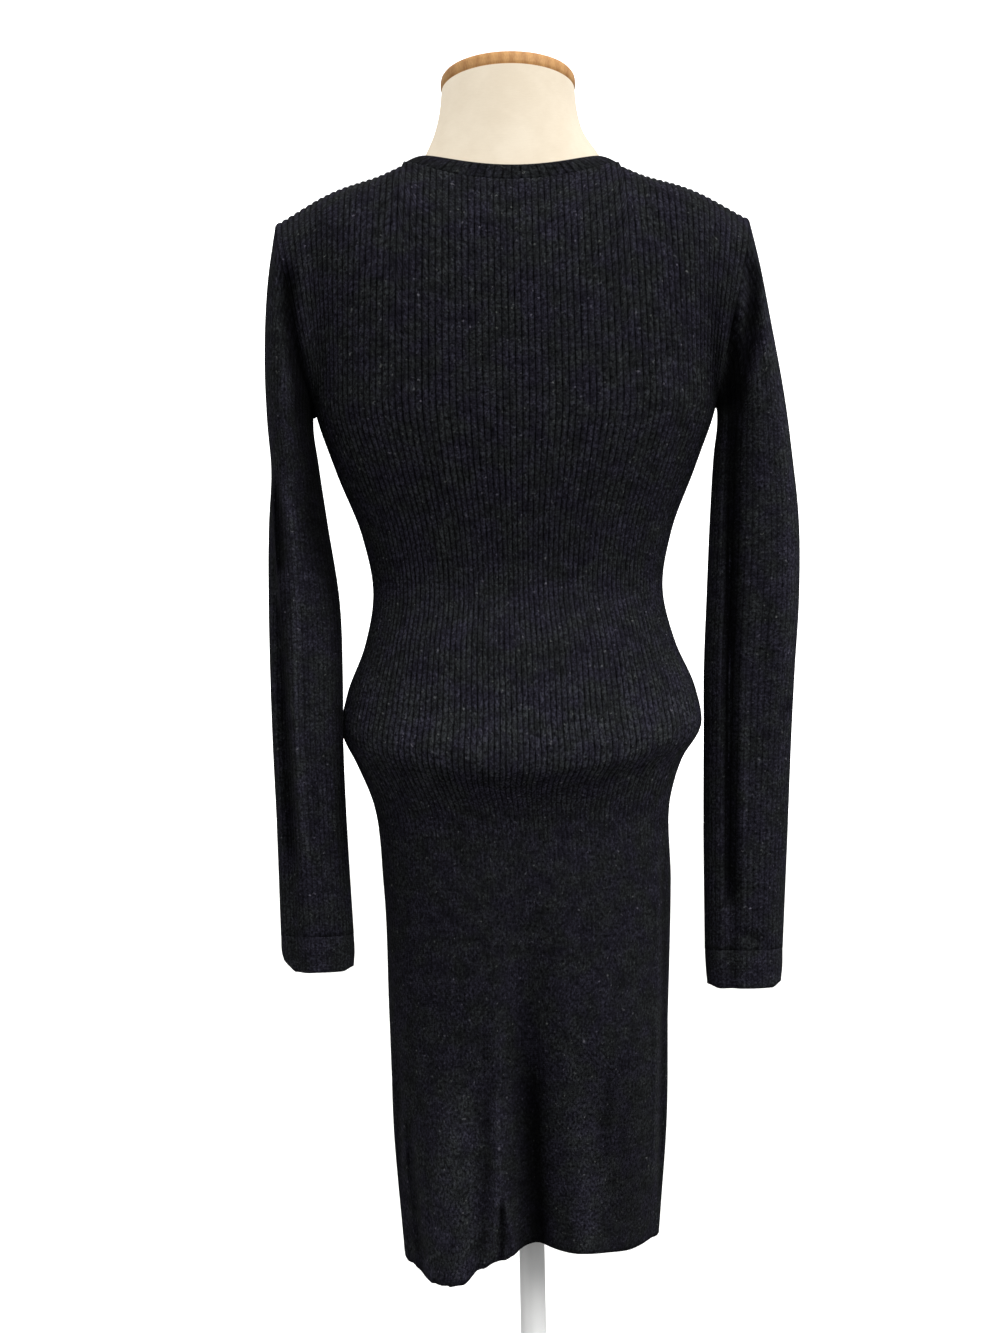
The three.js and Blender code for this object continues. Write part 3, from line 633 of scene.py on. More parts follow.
# %% Place the skirt folds
FOLD_FADE = 150
SKIRT_FOLDS = [
    # face, across at top, across at hem, top z, half width, depth in mm
    ("back", -0.03, 0.03, 800, 0.17, -11),
    ("back", -0.16, -0.14, 720, 0.08, 4),
    ("back", -0.5, -0.44, 650, 0.24, 7),
    ("back", 0.4, 0.38, 740, 0.26, 4),
    ("back", -0.86, -0.84, 690, 0.08, 3),
    ("back", 0.87, 0.86, 700, 0.08, 3),
    ("front", 0.12, 0.1, 790, 0.18, -9),
    ("front", -0.34, -0.3, 700, 0.22, 6),
    ("front", 0.55, 0.5, 720, 0.2, 6),
]


def skirt_fold(face, across, z):
    depth = np.zeros_like(z)
    hem = BODY_ROWS[0][1]
    for fold_face, top_across, hem_across, top, half, size in SKIRT_FOLDS:
        if fold_face != face:
            continue
        down = np.clip((top - z) / (top - hem), 0, 1)
        middle = mix(top_across, hem_across, down)
        depth += size * smooth((top - z) / FOLD_FADE) * hump(across - middle, half)
    return depth


# %% [markdown]
# ## Creases
#
# The finer creases are drawn on the back as the camera sees it. Each is a line of points,
# x and z in millimetres, that the cloth sinks along, or rises along where the depth is negative.
# The depth is painted into the wool's colour too: painted shade in a trough, painted light on
# a ridge. The two at the armholes belong to the body and the sleeve alike, so that the
# cloth stays together at the seam. The hidden front has a few like them.

# %% Draw the creases
CREASES = {
    # depth, half width, fade at the top, fade at the foot, points
    "back": [
        (8.5, 22, 130, 1, [(-4, 705), (-1, 560), (1, 440)]),
        (5, 9, 60, 1, [(2, 620), (4, 520), (7, 440)]),
        (-5, 9, 60, 1, [(-27, 612), (-30, 520), (-36, 440)]),
        (4, 5, 30, 1, [(-26, 520), (-28, 430)]),
        (-3.5, 4.5, 20, 1, [(-25, 514), (-13, 450)]),
        (-3, 4.5, 20, 1, [(-27, 512), (-43, 440)]),
        (-8, 30, 130, 1, [(-60, 640), (-64, 540), (-69, 430)]),
        (-3.5, 4.5, 50, 40, [(-106, 606), (-108, 560), (-108, 490)]),
        (4, 5, 50, 40, [(-113.5, 640), (-114, 560), (-112, 480)]),
        (-3.5, 5, 40, 1, [(-98, 580), (-93, 520), (-86, 430)]),
        (4, 5, 40, 1, [(-104, 570), (-100, 510), (-94, 430)]),
        (-3.5, 4.5, 60, 60, [(113, 815), (111, 670), (104, 470)]),
        (5, 5, 60, 30, [(119.5, 800), (117.5, 670), (111, 470)]),
        (-4, 22, 130, 1, [(40, 640), (44, 540), (47, 430)]),
        (2.5, 9, 60, 60, [(70, 640), (60, 560), (52, 500)]),
        (3, 34, 120, 1, [(72, 680), (76, 560), (78, 430)]),
        (2, 7, 30, 30, [(118, 1045), (108, 1030), (103, 1004)]),
        (1.6, 5, 20, 20, [(112, 1020), (106, 1002)]),
    ],
    "front": [
        (7, 20, 120, 1, [(18, 690), (14, 560), (12, 440)]),
        (-4, 9, 60, 1, [(44, 600), (47, 520), (52, 440)]),
        (-4, 22, 120, 1, [(-46, 640), (-50, 540), (-52, 430)]),
        (3, 5, 50, 1, [(97, 620), (94, 540), (88, 430)]),
        (3, 5, 50, 1, [(-105, 600), (-103, 520), (-99, 430)]),
    ],
    "left": [
        (10, 9, 25, 25, [(-210, 1124), (-206, 1095), (-204, 1060), (-204, 1016)]),
        (7, 9, 30, 60, [(-204, 1034), (-203, 980), (-202, 900), (-199, 840), (-196, 755)]),
        (-4.5, 5.5, 30, 50, [(-205, 1118), (-198, 1096), (-193, 1074), (-190.5, 1050),
                             (-190.5, 900), (-188.5, 850), (-184.5, 765)]),
        (-3, 4, 6, 6, [(-211, 1024), (-206, 1014), (-200, 1002)]),
        (11, 19, 30, 140, [(-184, 1192), (-178, 1150), (-175, 1110), (-173, 1066), (-166, 1030),
                           (-161, 940)]),
        (7, 9, 40, 60, [(-168, 1150), (-163, 1070), (-156, 1000), (-155, 900), (-153, 740)]),
        (2, 7, 60, 60, [(-176, 900), (-178, 840), (-176, 780)]),
    ],
    "right": [
        (9, 9, 30, 20, [(192, 1196), (185, 1157), (183, 1104), (181.5, 1016), (178, 920),
                        (177, 735)]),
        (4, 15, 30, 80, [(194, 1196), (189, 1130), (187, 1060), (185, 1000), (182, 900)]),
        (-3, 16, 30, 80, [(222, 1230), (229, 1150), (235, 1077), (233, 1000), (226, 900)]),
        (-2.5, 7, 60, 90, [(196, 1150), (192, 1050), (188, 900), (185, 760)]),
        (4, 5, 18, 10, [(174, 724), (192, 716), (215, 706)]),
        (6, 5, 8, 10, [(233, 917), (226, 908), (219, 903)]),
        (-4, 9, 40, 60, [(214, 1275), (217, 1235), (217, 1170)]),
        (2, 9, 90, 90, [(206, 1060), (208, 960), (205, 860)]),
    ],
}
ARMHOLE_CREASES = {
    -1: [(12, 12, 40, 16, [(-193, 1318), (-193, 1281), (-191.5, 1250), (-188, 1215),
                           (-182.5, 1185), (-178, 1160)]),
         (-3, 10, 20, 20, [(-200, 1304), (-188, 1296), (-172, 1300)])],
    1: [(12, 12, 30, 20, [(202, 1308), (204.5, 1284), (204, 1262), (199.5, 1223), (190, 1184),
                          (184, 1158)]),
        (10, 9, 30, 12, [(190, 1262), (187, 1232), (183, 1192), (179, 1160)]),
        (-3, 6, 20, 20, [(199, 1290), (195, 1250), (189, 1215)])],
}


def line_distance(x, z, points):
    """Distance of each place from a line of points, how far along the nearest lies, and its length."""
    best = np.full(x.shape, 1e9)
    along = np.zeros(x.shape)
    passed = 0
    for (x0, z0), (x1, z1) in zip(points, points[1:]):
        length = math.hypot(x1 - x0, z1 - z0)
        share = ((x - x0) * (x1 - x0) + (z - z0) * (z1 - z0)) / length**2
        near = np.clip(share, 0, 1)
        apart = np.hypot(x - mix(x0, x1, near), z - mix(z0, z1, near))
        along = np.where(apart < best, passed + near * length, along)
        best = np.minimum(best, apart)
        passed += length
    return best, along, passed


def crease(grid, normal, drawn, front_drawn=()):
    """Sinks the back of a piece along drawn, and its front along front_drawn.

    Returns the grid and, for each point, how deep it lies in a crease in centimetres."""
    moved = grid.copy()
    painted_shading = np.zeros(grid.shape[:2])
    x, z = grid[..., 0], grid[..., 2]
    for lines, sign in ((drawn, -1), (front_drawn, 1)):
        facing = smooth(sign * normal[..., 1] / 0.5)
        seen = smooth(sign * normal[..., 1] / 0.16)
        for depth, half, top_fade, foot_fade, points in lines:
            apart, along, length = line_distance(x, z, points)
            ends = smooth(along / top_fade) * smooth((length - along) / foot_fade)
            sunk = depth * hump(apart, half) * ends
            moved[..., 1] -= sign * sunk * facing
            # The crease's depth is kept for the colour as well: painted shade in a trough, painted
            # light on a ridge.
            painted_shading += sunk * seen / 10
    return moved, painted_shading


print("creases drawn:", {name: len(lines) for name, lines in CREASES.items()})

# %% [markdown]
# ## Back and front
#
# A rib is a rounded ridge with a narrow furrow, so each takes four columns: furrow, flank,
# crest, flank. The ribs stand highest over the back and the hips and sink in the skirt,
# where the knit isn't stretched. At the side seams, the armholes and the shoulders the walls
# of two pieces share one direction, so that they meet edge to edge.

# %% Model the back and the front
PANEL_RIBS = 78
RIB_COLUMNS = 4
RIB_PROFILE = np.array([0, 0.78, 1, 0.78])
RIB_HEIGHT = 1.2
WALL = 1.7
ROW_PITCH = 5.2
HIP_PAINTED_LIGHT = 0.36            # the hips are painted lighter, where the light from above falls on them: painted light
HIP_MIDDLE = 892
HIP_REACH = 75
RIB_GATHER = 0.054            # below the waist the ribs crowd towards the middle of a panel
GATHER_TOP = 1005
GATHER_FADE = 70
UNDERARM = len(BODY_ROWS) - 1


def gathered(across, z):
    return across - RIB_GATHER * smooth((GATHER_TOP - z) / GATHER_FADE) * np.sin(math.pi * across)


def panel_grid(face):
    """The middle of the wall without and with its creases, and where its rows and creases lie."""
    columns = PANEL_RIBS * RIB_COLUMNS + 1
    across = np.linspace(-1, 1, columns)
    stations = [body_points(face, gathered(across, row[1]), row) for row in BODY_ROWS]
    stations += [yoke_points(face, across, np.full(columns, up)) for up in YOKE_STEPS]
    stations = np.array(stations)
    grid, places = curve_through(stations, steps_for(stations, ROW_PITCH))
    normal = normals_of(grid, False, 1 if face == "back" else -1)
    fold = skirt_fold(face, gathered(across[None, :], grid[..., 2]), grid[..., 2])
    plain = grid + normal * fold[..., None]
    if face == "back":
        lines = CREASES["back"] + ARMHOLE_CREASES[-1] + ARMHOLE_CREASES[1]
        grid, painted_shading = crease(plain, normal, lines)
    else:
        grid, painted_shading = crease(plain, normal, [], CREASES["front"])
    # The band over the hips is painted lighter: painted light.
    painted_shading -= HIP_PAINTED_LIGHT * hump(grid[..., 2] - HIP_MIDDLE, HIP_REACH)
    return across, plain, grid, places, painted_shading


def seam_normals(face, across, grid, places):
    sign = FACES[face]["sign"]
    normal = normals_of(grid, False, 1 if face == "back" else -1)
    along = np.gradient(grid, axis=0)
    for side, column in ((-1, 0), (1, -1)):
        for j, place in enumerate(places):
            if place < UNDERARM:
                one = normal[j, column] * (1, 0, 1)
            elif place == UNDERARM:
                one = np.array([side, 0, -1.0])
            else:
                one = np.array([0, sign * along[j, column, 2], -sign * along[j, column, 1]])
            normal[j, column] = one / np.linalg.norm(one)
    normal[-1] = top_normals(face, across)
    return normal


def model_panel(face):
    across, plain, grid, places, painted_shading = panel_grid(face)
    normal = seam_normals(face, across, grid, places)
    rib_rows = [row[-1] for row in BODY_ROWS] + [1] * len(YOKE_STEPS)
    height = np.interp(places, range(len(rib_rows)), rib_rows) * RIB_HEIGHT
    profile = RIB_PROFILE[np.arange(len(across)) % RIB_COLUMNS]
    outer = grid + normal * (height[:, None] * profile[None, :])[..., None]
    inner = (grid - normal * WALL)[:, ::RIB_COLUMNS]
    piece = wall(f"{face}_of_dress", outer, inner, False, face == "front", painted_shading)
    return piece, plain, grid, places


back, back_plain, back_creased, back_places = model_panel("back")
front, front_plain, front_creased, front_places = model_panel("front")
rib_finish = knit_finish("rib_knit", wales=PANEL_RIBS * 3, courses=560, ribs=PANEL_RIBS,
                         furrow=0.95, fades=True)
stand_in(back, "back_panel", rib_finish)
stand_in(front, "front_panel", rib_finish)

# %% [markdown]
# ## Sleeves
#
# The sleeves hang empty and flat beside the body, so each is a long narrow tube. It starts at
# the armhole, the very edge of the panels, and turns down to the underarm. Long soft creases
# run down from the elbow, and the knit of the sleeve is smoother than that of the body.

# %% Sizes of the sleeves
SLEEVES = {
    "left": dict(side=-1, head_out=15.5, head_drop=77,
        rows=[  # z, inner, outer, depth, behind
            (1164, 177, 215.5, 62, 0), (1130, 173, 213, 60, 3), (1077, 165.5, 215.5, 54, 10),
            (1008, 155.5, 216, 45, 21), (940, 153.5, 215, 38, 31), (890, 154, 214, 35, 33),
            (820, 152.5, 212, 32, 31), (723.03, 148.5, 210.5, 28, 27)],
        cuff=[(722.97, 148.5, 210.5, 28, 27), (707, 148, 210, 26.5, 26), (692, 149, 208.5, 25, 25)],
        folds=[  # turn at top, turn at end, top z, half width in degrees, depth
            (20, 48, 1150, 26, -9), (44, 76, 1150, 16, 2.5), (262, 282, 1080, 24, -6)]),
    "right": dict(side=1, head_out=10.5, head_drop=37,
        rows=[
            (1164, 175.5, 235, 56, 0), (1130, 171.5, 238.5, 52, 2), (1077, 167, 243, 44, 5),
            (1008, 162.5, 242, 37, 8), (940, 158.5, 236.5, 31, 10), (890, 157.5, 233, 28, 10),
            (820, 156, 229, 25, 9), (702.03, 155, 222, 23, 7)],
        cuff=[(701.97, 155, 222, 23, 7), (686, 155.5, 221.5, 22.5, 7), (669, 156.5, 220, 22, 7)],
        folds=[
            (128, 114, 1150, 17, -6), (60, 60, 1100, 40, 2), (250, 240, 1090, 24, -6)]),
}
SLEEVE_RIBS = 44
SLEEVE_RIB_HEIGHT = 0.4
SLEEVE_ROW_PITCH = 5.0
SLEEVE_HEAD_STEPS = [0, 0.3, 0.65]
ARMHOLE_GAP = 0.2
SEAM_ROWS = 7                 # rows over which the sleeve takes up the panels' crease at the seam
CUFF_WALL = 2.2
CUFF_RIB_HEIGHT = 0.25
CUFF_CORNERS = {"left": (9, 3), "right": (4, 3)}  # how far the end's outer and inner corners lift
CUFF_CORNER_FROM = 0.7        # where on the way to the side a corner starts to lift
TURNS = np.arange(SLEEVE_RIBS * RIB_COLUMNS) / (SLEEVE_RIBS * RIB_COLUMNS) * 2 * math.pi


# %% Points of a sleeve
def sleeve_points(sleeve, row, turn):
    z, inner, outer, depth, behind = row
    x = sleeve["side"] * ((inner + outer) / 2 + (outer - inner) / 2 * np.cos(turn))
    y = -behind - depth * np.sin(turn)
    return np.stack([x, y, np.full_like(turn, z)], axis=-1)


def sleeve_fold(sleeve, degrees, z):
    depth = np.zeros_like(z)
    last = sleeve["rows"][-1][0]
    for top_turn, end_turn, top, half, size in sleeve["folds"]:
        down = np.clip((top - z) / (top - last), 0, 1)
        middle = mix(top_turn, end_turn, smooth(down * 1.6))
        growth = smooth((top - z) / FOLD_FADE) * mix(1, 0.7, down)
        depth += size * growth * hump(degrees - middle, half)
    return depth


def armhole_points(side, turn, back_grid, front_grid):
    """The edge of the panels, moved out by the seam's gap. A quarter turn is the back."""
    around = turn / math.pi
    height = np.abs(1 - around)
    column = 0 if side < 0 else -1
    steps = [0, *YOKE_STEPS]
    edges = {}
    for face, grid, places in (("back", back_grid, back_places), ("front", front_grid, front_places)):
        above = places >= UNDERARM
        up = np.interp(places[above] - UNDERARM, range(len(steps)), steps)
        edge = grid[above, column]
        edges[face] = np.stack([np.interp(height, up, edge[:, k]) for k in range(3)], axis=-1)
    points = np.where((around <= 1)[:, None], edges["back"], edges["front"])
    return points + np.array([side * ARMHOLE_GAP, 0, 0])


def fold_in(sleeve, grid, turn):
    fold = sleeve_fold(sleeve, np.degrees(turn)[None, :], grid[..., 2])
    grid[..., 0] += sleeve["side"] * fold * 0.5 * np.cos(turn)
    grid[..., 1] -= fold * np.sin(turn)
    return grid


# %% Model the sleeves and cuffs
def sleeve_grid(sleeve, turn):
    start = armhole_points(sleeve["side"], turn, back_plain, front_plain)
    end = sleeve_points(sleeve, sleeve["rows"][0], turn)
    level = (start[:, 1] + end[:, 1]) / 2
    under = np.stack([end[:, 0], level, start[:, 2] - 1], axis=-1)
    outer = np.stack([start[:, 0] + sleeve["side"] * sleeve["head_out"], level,
                      start[:, 2] - sleeve["head_drop"]], axis=-1)
    control = mix(under, outer, np.maximum(0, np.cos(turn))[:, None])
    stations = [(1 - t)**2 * start + 2 * (1 - t) * t * control + t * t * end
                for t in SLEEVE_HEAD_STEPS]
    stations += [sleeve_points(sleeve, row, turn) for row in sleeve["rows"]]
    stations = np.array(stations)
    grid, _ = curve_through(stations, steps_for(stations, SLEEVE_ROW_PITCH))
    return fold_in(sleeve, grid, turn)


def armhole_normals(sleeve, grid):
    """Square to the armhole seam, without a part along the shoulder line."""
    along = np.roll(grid[0], -1, axis=0) - np.roll(grid[0], 1, axis=0)
    normal = np.stack([np.zeros(len(along)), along[:, 2], -along[:, 1]], axis=-1)
    top = shoulder_normal(sleeve["side"])
    bottom = np.array([-sleeve["side"], 0, -1]) / math.sqrt(2)
    normal /= np.maximum(np.linalg.norm(normal, axis=1, keepdims=True), 1e-9)
    half = len(normal) // 2
    normal[0] = top
    normal[half] = bottom
    return normal


def ribbed_tube(name, side, grid, normal, rise, thickness, painted_shading):
    profile = RIB_PROFILE[np.arange(len(TURNS)) % RIB_COLUMNS] * rise
    outer = grid + normal * profile[None, :, None]
    inner = (grid - normal * thickness)[:, ::RIB_COLUMNS]
    return wall(name, outer, inner, True, side < 0, painted_shading)


def model_sleeve(side_name):
    sleeve = SLEEVES[side_name]
    grid = sleeve_grid(sleeve, TURNS)
    lines = CREASES[side_name] + ARMHOLE_CREASES[sleeve["side"]]
    grid, painted_shading = crease(grid, normals_of(grid, True, sleeve["side"]), lines)
    apart = armhole_points(sleeve["side"], TURNS, back_creased, front_creased) - grid[0]
    fade = smooth(1 - np.arange(len(grid)) / SEAM_ROWS)
    grid += apart[None, :] * fade[:, None, None]
    normal = normals_of(grid, True, sleeve["side"])
    normal[0] = armhole_normals(sleeve, grid)
    return ribbed_tube(f"sleeve_{side_name}_of_dress", sleeve["side"], grid, normal,
                       SLEEVE_RIB_HEIGHT, WALL, painted_shading)


def model_cuff(side_name):
    sleeve = SLEEVES[side_name]
    stations = np.array([sleeve_points(sleeve, row, TURNS) for row in sleeve["cuff"]])
    outer_lift, inner_lift = CUFF_CORNERS[side_name]
    cosine = np.cos(TURNS)
    corner = smooth((np.abs(cosine) - CUFF_CORNER_FROM) / (1 - CUFF_CORNER_FROM))
    stations[-1, :, 2] += np.where(cosine > 0, outer_lift, inner_lift) * corner
    grid, _ = curve_through(stations, [5, 5])
    grid = fold_in(sleeve, grid, TURNS)
    grid, painted_shading = crease(grid, normals_of(grid, True, sleeve["side"]), CREASES[side_name])
    normal = normals_of(grid, True, sleeve["side"])
    return ribbed_tube(f"cuff_{side_name}_of_dress", sleeve["side"], grid, normal,
                       CUFF_RIB_HEIGHT, CUFF_WALL, painted_shading)


# level 0.93 paints the sleeves a little darker than the body's knit: painted shade.
sleeve_finish = knit_finish("sleeve_knit", wales=SLEEVE_RIBS * 3, courses=380, ribs=SLEEVE_RIBS,
                            furrow=0.6, level=0.93)
cuff_finish = knit_finish("cuff_knit", wales=SLEEVE_RIBS * 3, courses=24, ribs=SLEEVE_RIBS,
                          furrow=0.4)
sleeves = {}
cuffs = {}
for side_name in SLEEVES:
    sleeves[side_name] = model_sleeve(side_name)
    cuffs[side_name] = model_cuff(side_name)
    stand_in(sleeves[side_name], f"sleeve_{side_name}", sleeve_finish)
    stand_in(cuffs[side_name], f"cuff_{side_name}", cuff_finish)

# %% [markdown]
# ## Neckband
#
# The neckline is finished with a narrow band of finer knit, linked to the panels all round. Its
# wall is plain, and its small ribs are in its finish alone. It stands up a little from the seam,
# and its upper edge is rounded where the band is folded.

# %% Model the neckband
BAND_GAP = 0.25
BAND_WALL = 2.2
BAND_UPPER_X = 77
BAND_UPPER_Z = 1393
BAND_UPPER = {"back": dict(depth=61, drop=17, power=2), "front": dict(depth=79, drop=75, power=1.5)}
BAND_COLUMNS = 288
BAND_ROWS = 9
BAND_PUFF = 1.0
BAND_ROUNDING = 0.2           # share of the height over which the upper edge is rounded
BAND_EDGE = 0.25              # share of the wall that is left at the edge


def top_edge(face, places):
    """Points on the panel's own top edge, which is straight from one of its columns to the next."""
    edge = (back_creased if face == "back" else front_creased)[-1]
    columns = np.linspace(-1, 1, len(edge))
    return np.stack([np.interp(places, columns, edge[:, k]) for k in range(3)], axis=-1)


def neckband_loops():
    turn = np.arange(BAND_COLUMNS) / BAND_COLUMNS * 2 * math.pi
    sine = np.sin(turn)
    share = np.abs(np.cos(turn))
    behind = np.cos(turn) >= 0
    lower = {}
    upper = {}
    normal = {}
    for face in FACES:
        size = BAND_UPPER[face]
        lower[face] = top_edge(face, NECK_SHARE * sine)
        normal[face] = top_normals(face, NECK_SHARE * sine)
        level = BAND_UPPER_Z + NECK_TILT * BAND_UPPER_X * sine - size["drop"] * share ** size["power"]
        depth = FACES[face]["sign"] * size["depth"] * share
        upper[face] = np.stack([BAND_UPPER_X * sine, depth, level], axis=-1)
    return [np.where(behind[:, None], one["back"], one["front"]) for one in (lower, upper, normal)]


lower, upper, band_normal = neckband_loops()
along = upper - lower
along /= np.linalg.norm(along, axis=1, keepdims=True)
lower = lower + along * BAND_GAP
square = band_normal - along * (band_normal * along).sum(axis=1, keepdims=True)
square /= np.linalg.norm(square, axis=1, keepdims=True)
band_outer = []
band_inner = []
for t in np.linspace(0, 1, BAND_ROWS):
    middle = lower + (upper - lower) * t
    facing = mix(band_normal, square, smooth(t * 3))
    past = max(0.0, t - (1 - BAND_ROUNDING)) / BAND_ROUNDING
    round_edge = max(BAND_EDGE, math.sqrt(max(0.0, 1 - past**2)))
    puff = BAND_PUFF * math.sin(math.pi * t)
    half = BAND_WALL / 2
    band_outer.append(middle + facing * (puff - half + half * round_edge))
    band_inner.append(middle + facing * (puff - half - half * round_edge))
neckband = wall("neckband_of_dress", np.array(band_outer), np.array(band_inner), True)
band_finish = knit_finish("band_knit", wales=220, courses=8, ribs=BAND_COLUMNS / 4,
                          furrow=0.95, level=0.66)
stand_in(neckband, "neckband", band_finish)

# %% [markdown]
# ## The dress form
#
# The form is a padded torso in cream linen that shows at the neck, and below the hem from
# underneath. It follows the cloth's sections from inside and narrows to the neck, which ends
# in a slanted plane under the wooden cap.

# %% Mix the linen
LINEN_CREAM = (0.4, 0.355, 0.285, 1)
LINEN_SHADE = (0.32, 0.27, 0.2, 1)
THREADS_ROUND = 640
THREADS_UP = 900

# The linen also glows a little, so the neck stays evenly bright on every side: painted light.
linen = Finish("form_linen", Roughness=0.9, Specular_IOR_Level=0.1, Sheen_Weight=0.02,
               Emission_Color=(1.0, 0.885, 0.71, 1), Emission_Strength=0.5)
around, up, _ = linen.parts(linen.uv())
weft = (up * THREADS_UP * math.pi).math("SINE").math("ABSOLUTE")
warp = (around * THREADS_ROUND * math.pi).math("SINE").math("ABSOLUTE")
slub = linen.noise(linen.vector(around * 60, up * 900), 1.0, 3.0, 0.6)
wear = linen.noise(linen.place(), 26.0, 4.0, 0.6)
thread_tone = linen.range(slub, 0.3, 0.75) * 0.4 + linen.range(wear, 0.35, 0.65) * 0.8
linen.link("Base Color", linen.blend(thread_tone, LINEN_CREAM, LINEN_SHADE))
linen.bump(weft * 0.5 + warp * 0.5 + slub * 0.6, 0.25, 0.0002)

# %% Model the torso and its neck
FORM_FIRST_ROW = 6
FORM_INSET = 5.2
FORM_SIDE_SHARE = 0.97
FORM_YOKE_SHARE = 0.85
FORM_YOKE = [(0.25, 6), (0.48, 7), (0.68, 10), (0.82, 13.9)]
NECK_ROWS = [  # x, back, front, side z, back z, front z, lean
    (80.5, 58, 66, 1378, 1350, 1310, 0.5),
    (75.6, 56, 62, 1393.5, 1371, 1344, 0.3),
    (70.6, 55, 60, 1402, 1388, 1374, -0.6),
    (65.4, 55.2, 58.5, 1411.5, 1404, 1394, -1.6),
    (60.3, 56, 57.8, 1429, 1427, 1416, -1.8),
]
NECK_TOP_RADIUS = 57.8
CAP_CENTRE = np.array([-1.5, 0, 1450])
CAP_TILT = math.radians(12)
FORM_FOOT_Z = 866
FORM_FOOT_RADIUS = 62
FORM_HALF_COLUMNS = 72
FORM_ROW_PITCH = 6
FORM_BEVEL_SHARE = (0.955, 0.94, 1)
FORM_BEVEL_DROP = 4


def form_loop(share, points):
    across = np.linspace(-1, 1, FORM_HALF_COLUMNS + 1) * share
    return np.concatenate([points("back", across), points("front", across)[::-1]])


def neck_loop(row):
    x, back_depth, front_depth, side_z, back_z, front_z, lean = row
    half = FORM_HALF_COLUMNS

    def points(face, across):
        turn = math.pi / 2 * across * (half / (half + 1))
        depth, level = (back_depth, back_z) if face == "back" else (front_depth, front_z)
        z = mix(side_z, level, np.cos(turn)**2)
        y = FACES[face]["sign"] * depth * np.cos(turn)
        return np.stack([lean + x * np.sin(turn), y, z], axis=-1)

    return form_loop(1, points)


def form_rings():
    cloth = [form_loop(FORM_SIDE_SHARE, lambda face, across, row=row: body_points(face, across, row))
             for row in BODY_ROWS[FORM_FIRST_ROW:]]
    inset = [FORM_INSET] * len(cloth)
    for height, depth in FORM_YOKE:
        cloth.append(form_loop(FORM_YOKE_SHARE, lambda face, across, up=height:
                               yoke_points(face, across, np.full_like(across, up))))
        inset.append(depth)
    cloth = np.array(cloth)
    torso = cloth - normals_of(cloth, True) * np.array(inset)[:, None, None]
    neck = [neck_loop(row) for row in NECK_ROWS]
    angle = np.arctan2(neck[-1][:, 1], neck[-1][:, 0] - CAP_CENTRE[0])
    y = NECK_TOP_RADIUS * np.sin(angle)
    under_cap = CAP_CENTRE[2] - SEAM_GAP - y * math.tan(CAP_TILT)
    neck.append(np.stack([CAP_CENTRE[0] + NECK_TOP_RADIUS * np.cos(angle), y, under_cap], axis=-1))
    return torso, np.array(neck)


torso, neck = form_rings()
stations = np.concatenate([torso, neck])
form_grid, _ = curve_through(stations, steps_for(stations, FORM_ROW_PITCH))
bevel = torso[0] * FORM_BEVEL_SHARE - (0, 0, FORM_BEVEL_DROP)
angle = np.arctan2(bevel[:, 1], bevel[:, 0])
foot = np.stack([FORM_FOOT_RADIUS * np.cos(angle), FORM_FOOT_RADIUS * np.sin(angle),
                 np.full_like(angle, FORM_FOOT_Z)], axis=-1)
rings = np.concatenate([[foot, bevel], form_grid])
rows, columns = rings.shape[:2]
faces, places = skin_faces(0, rows, columns, True, False)
corners = [places.reshape(-1, 2)]
for j, turn in ((0, True), (rows - 1, False)):
    loop = [j * columns + i for i in range(columns)]
    spots = np.array([[i / columns, j / (rows - 1)] for i in range(columns)])
    faces.append(loop[::-1] if turn else loop)
    corners.append(spots[::-1] if turn else spots)
form_mesh = bpy.data.meshes.new("linen_form")
form_mesh.from_pydata((rings.reshape(-1, 3) * MM).tolist(), [], faces)
form_uv = form_mesh.uv_layers.new(name="cloth")
form_uv.uv.foreach_set("vector", np.concatenate(corners).astype(np.float32).ravel())
form = bpy.data.objects.new("linen_form", form_mesh)
bpy.context.scene.collection.objects.link(form)
deselect()
form.select_set(True)
bpy.context.view_layer.objects.active = form
bpy.ops.object.shade_smooth_by_angle(angle=math.radians(50))
stand_in(form, "form_torso", linen.material)
print("linen_form rows", rows, "columns", columns)

# %% [markdown]
# ## Cap, pole and base
#
# These three are turned on a lathe, so each starts as a circle that is extruded and scaled
# from one step of its profile to the next. The wooden cap is then tilted forwards onto the
# slanted end of the neck.

# %% Mix the wood and the enamel
WOOD_GOLD = (0.54, 0.3, 0.115, 1)
WOOD_DARK = (0.33, 0.15, 0.05, 1)
ENAMEL_WHITE = (0.93, 0.93, 0.92, 1)
ENAMEL_DUSTY = (0.9, 0.9, 0.89, 1)

wood = Finish("cap_wood", Roughness=0.7, Specular_IOR_Level=0.2, Coat_Weight=0.06,
              Coat_Roughness=0.25)
x, y, z = wood.parts(wood.place())
warp_noise = wood.noise(wood.place(), 14.0, 3.0, 0.55)
growth = ((x + y * 0.12 + warp_noise * 0.012) * 620).math("SINE")
pores = wood.noise(wood.vector(x * 900, y * 60, z * 300), 1.0, 3.0, 0.6)
grain = wood.range(growth, -1, 1) * 0.45 + wood.range(pores, 0.35, 0.75) * 0.55
wood.link("Base Color", wood.blend(grain, WOOD_GOLD, WOOD_DARK))
wood.link("Roughness", wood.range(pores, 0.3, 0.8, 0.58, 0.72))
wood.bump(pores, 0.12, 0.0003)

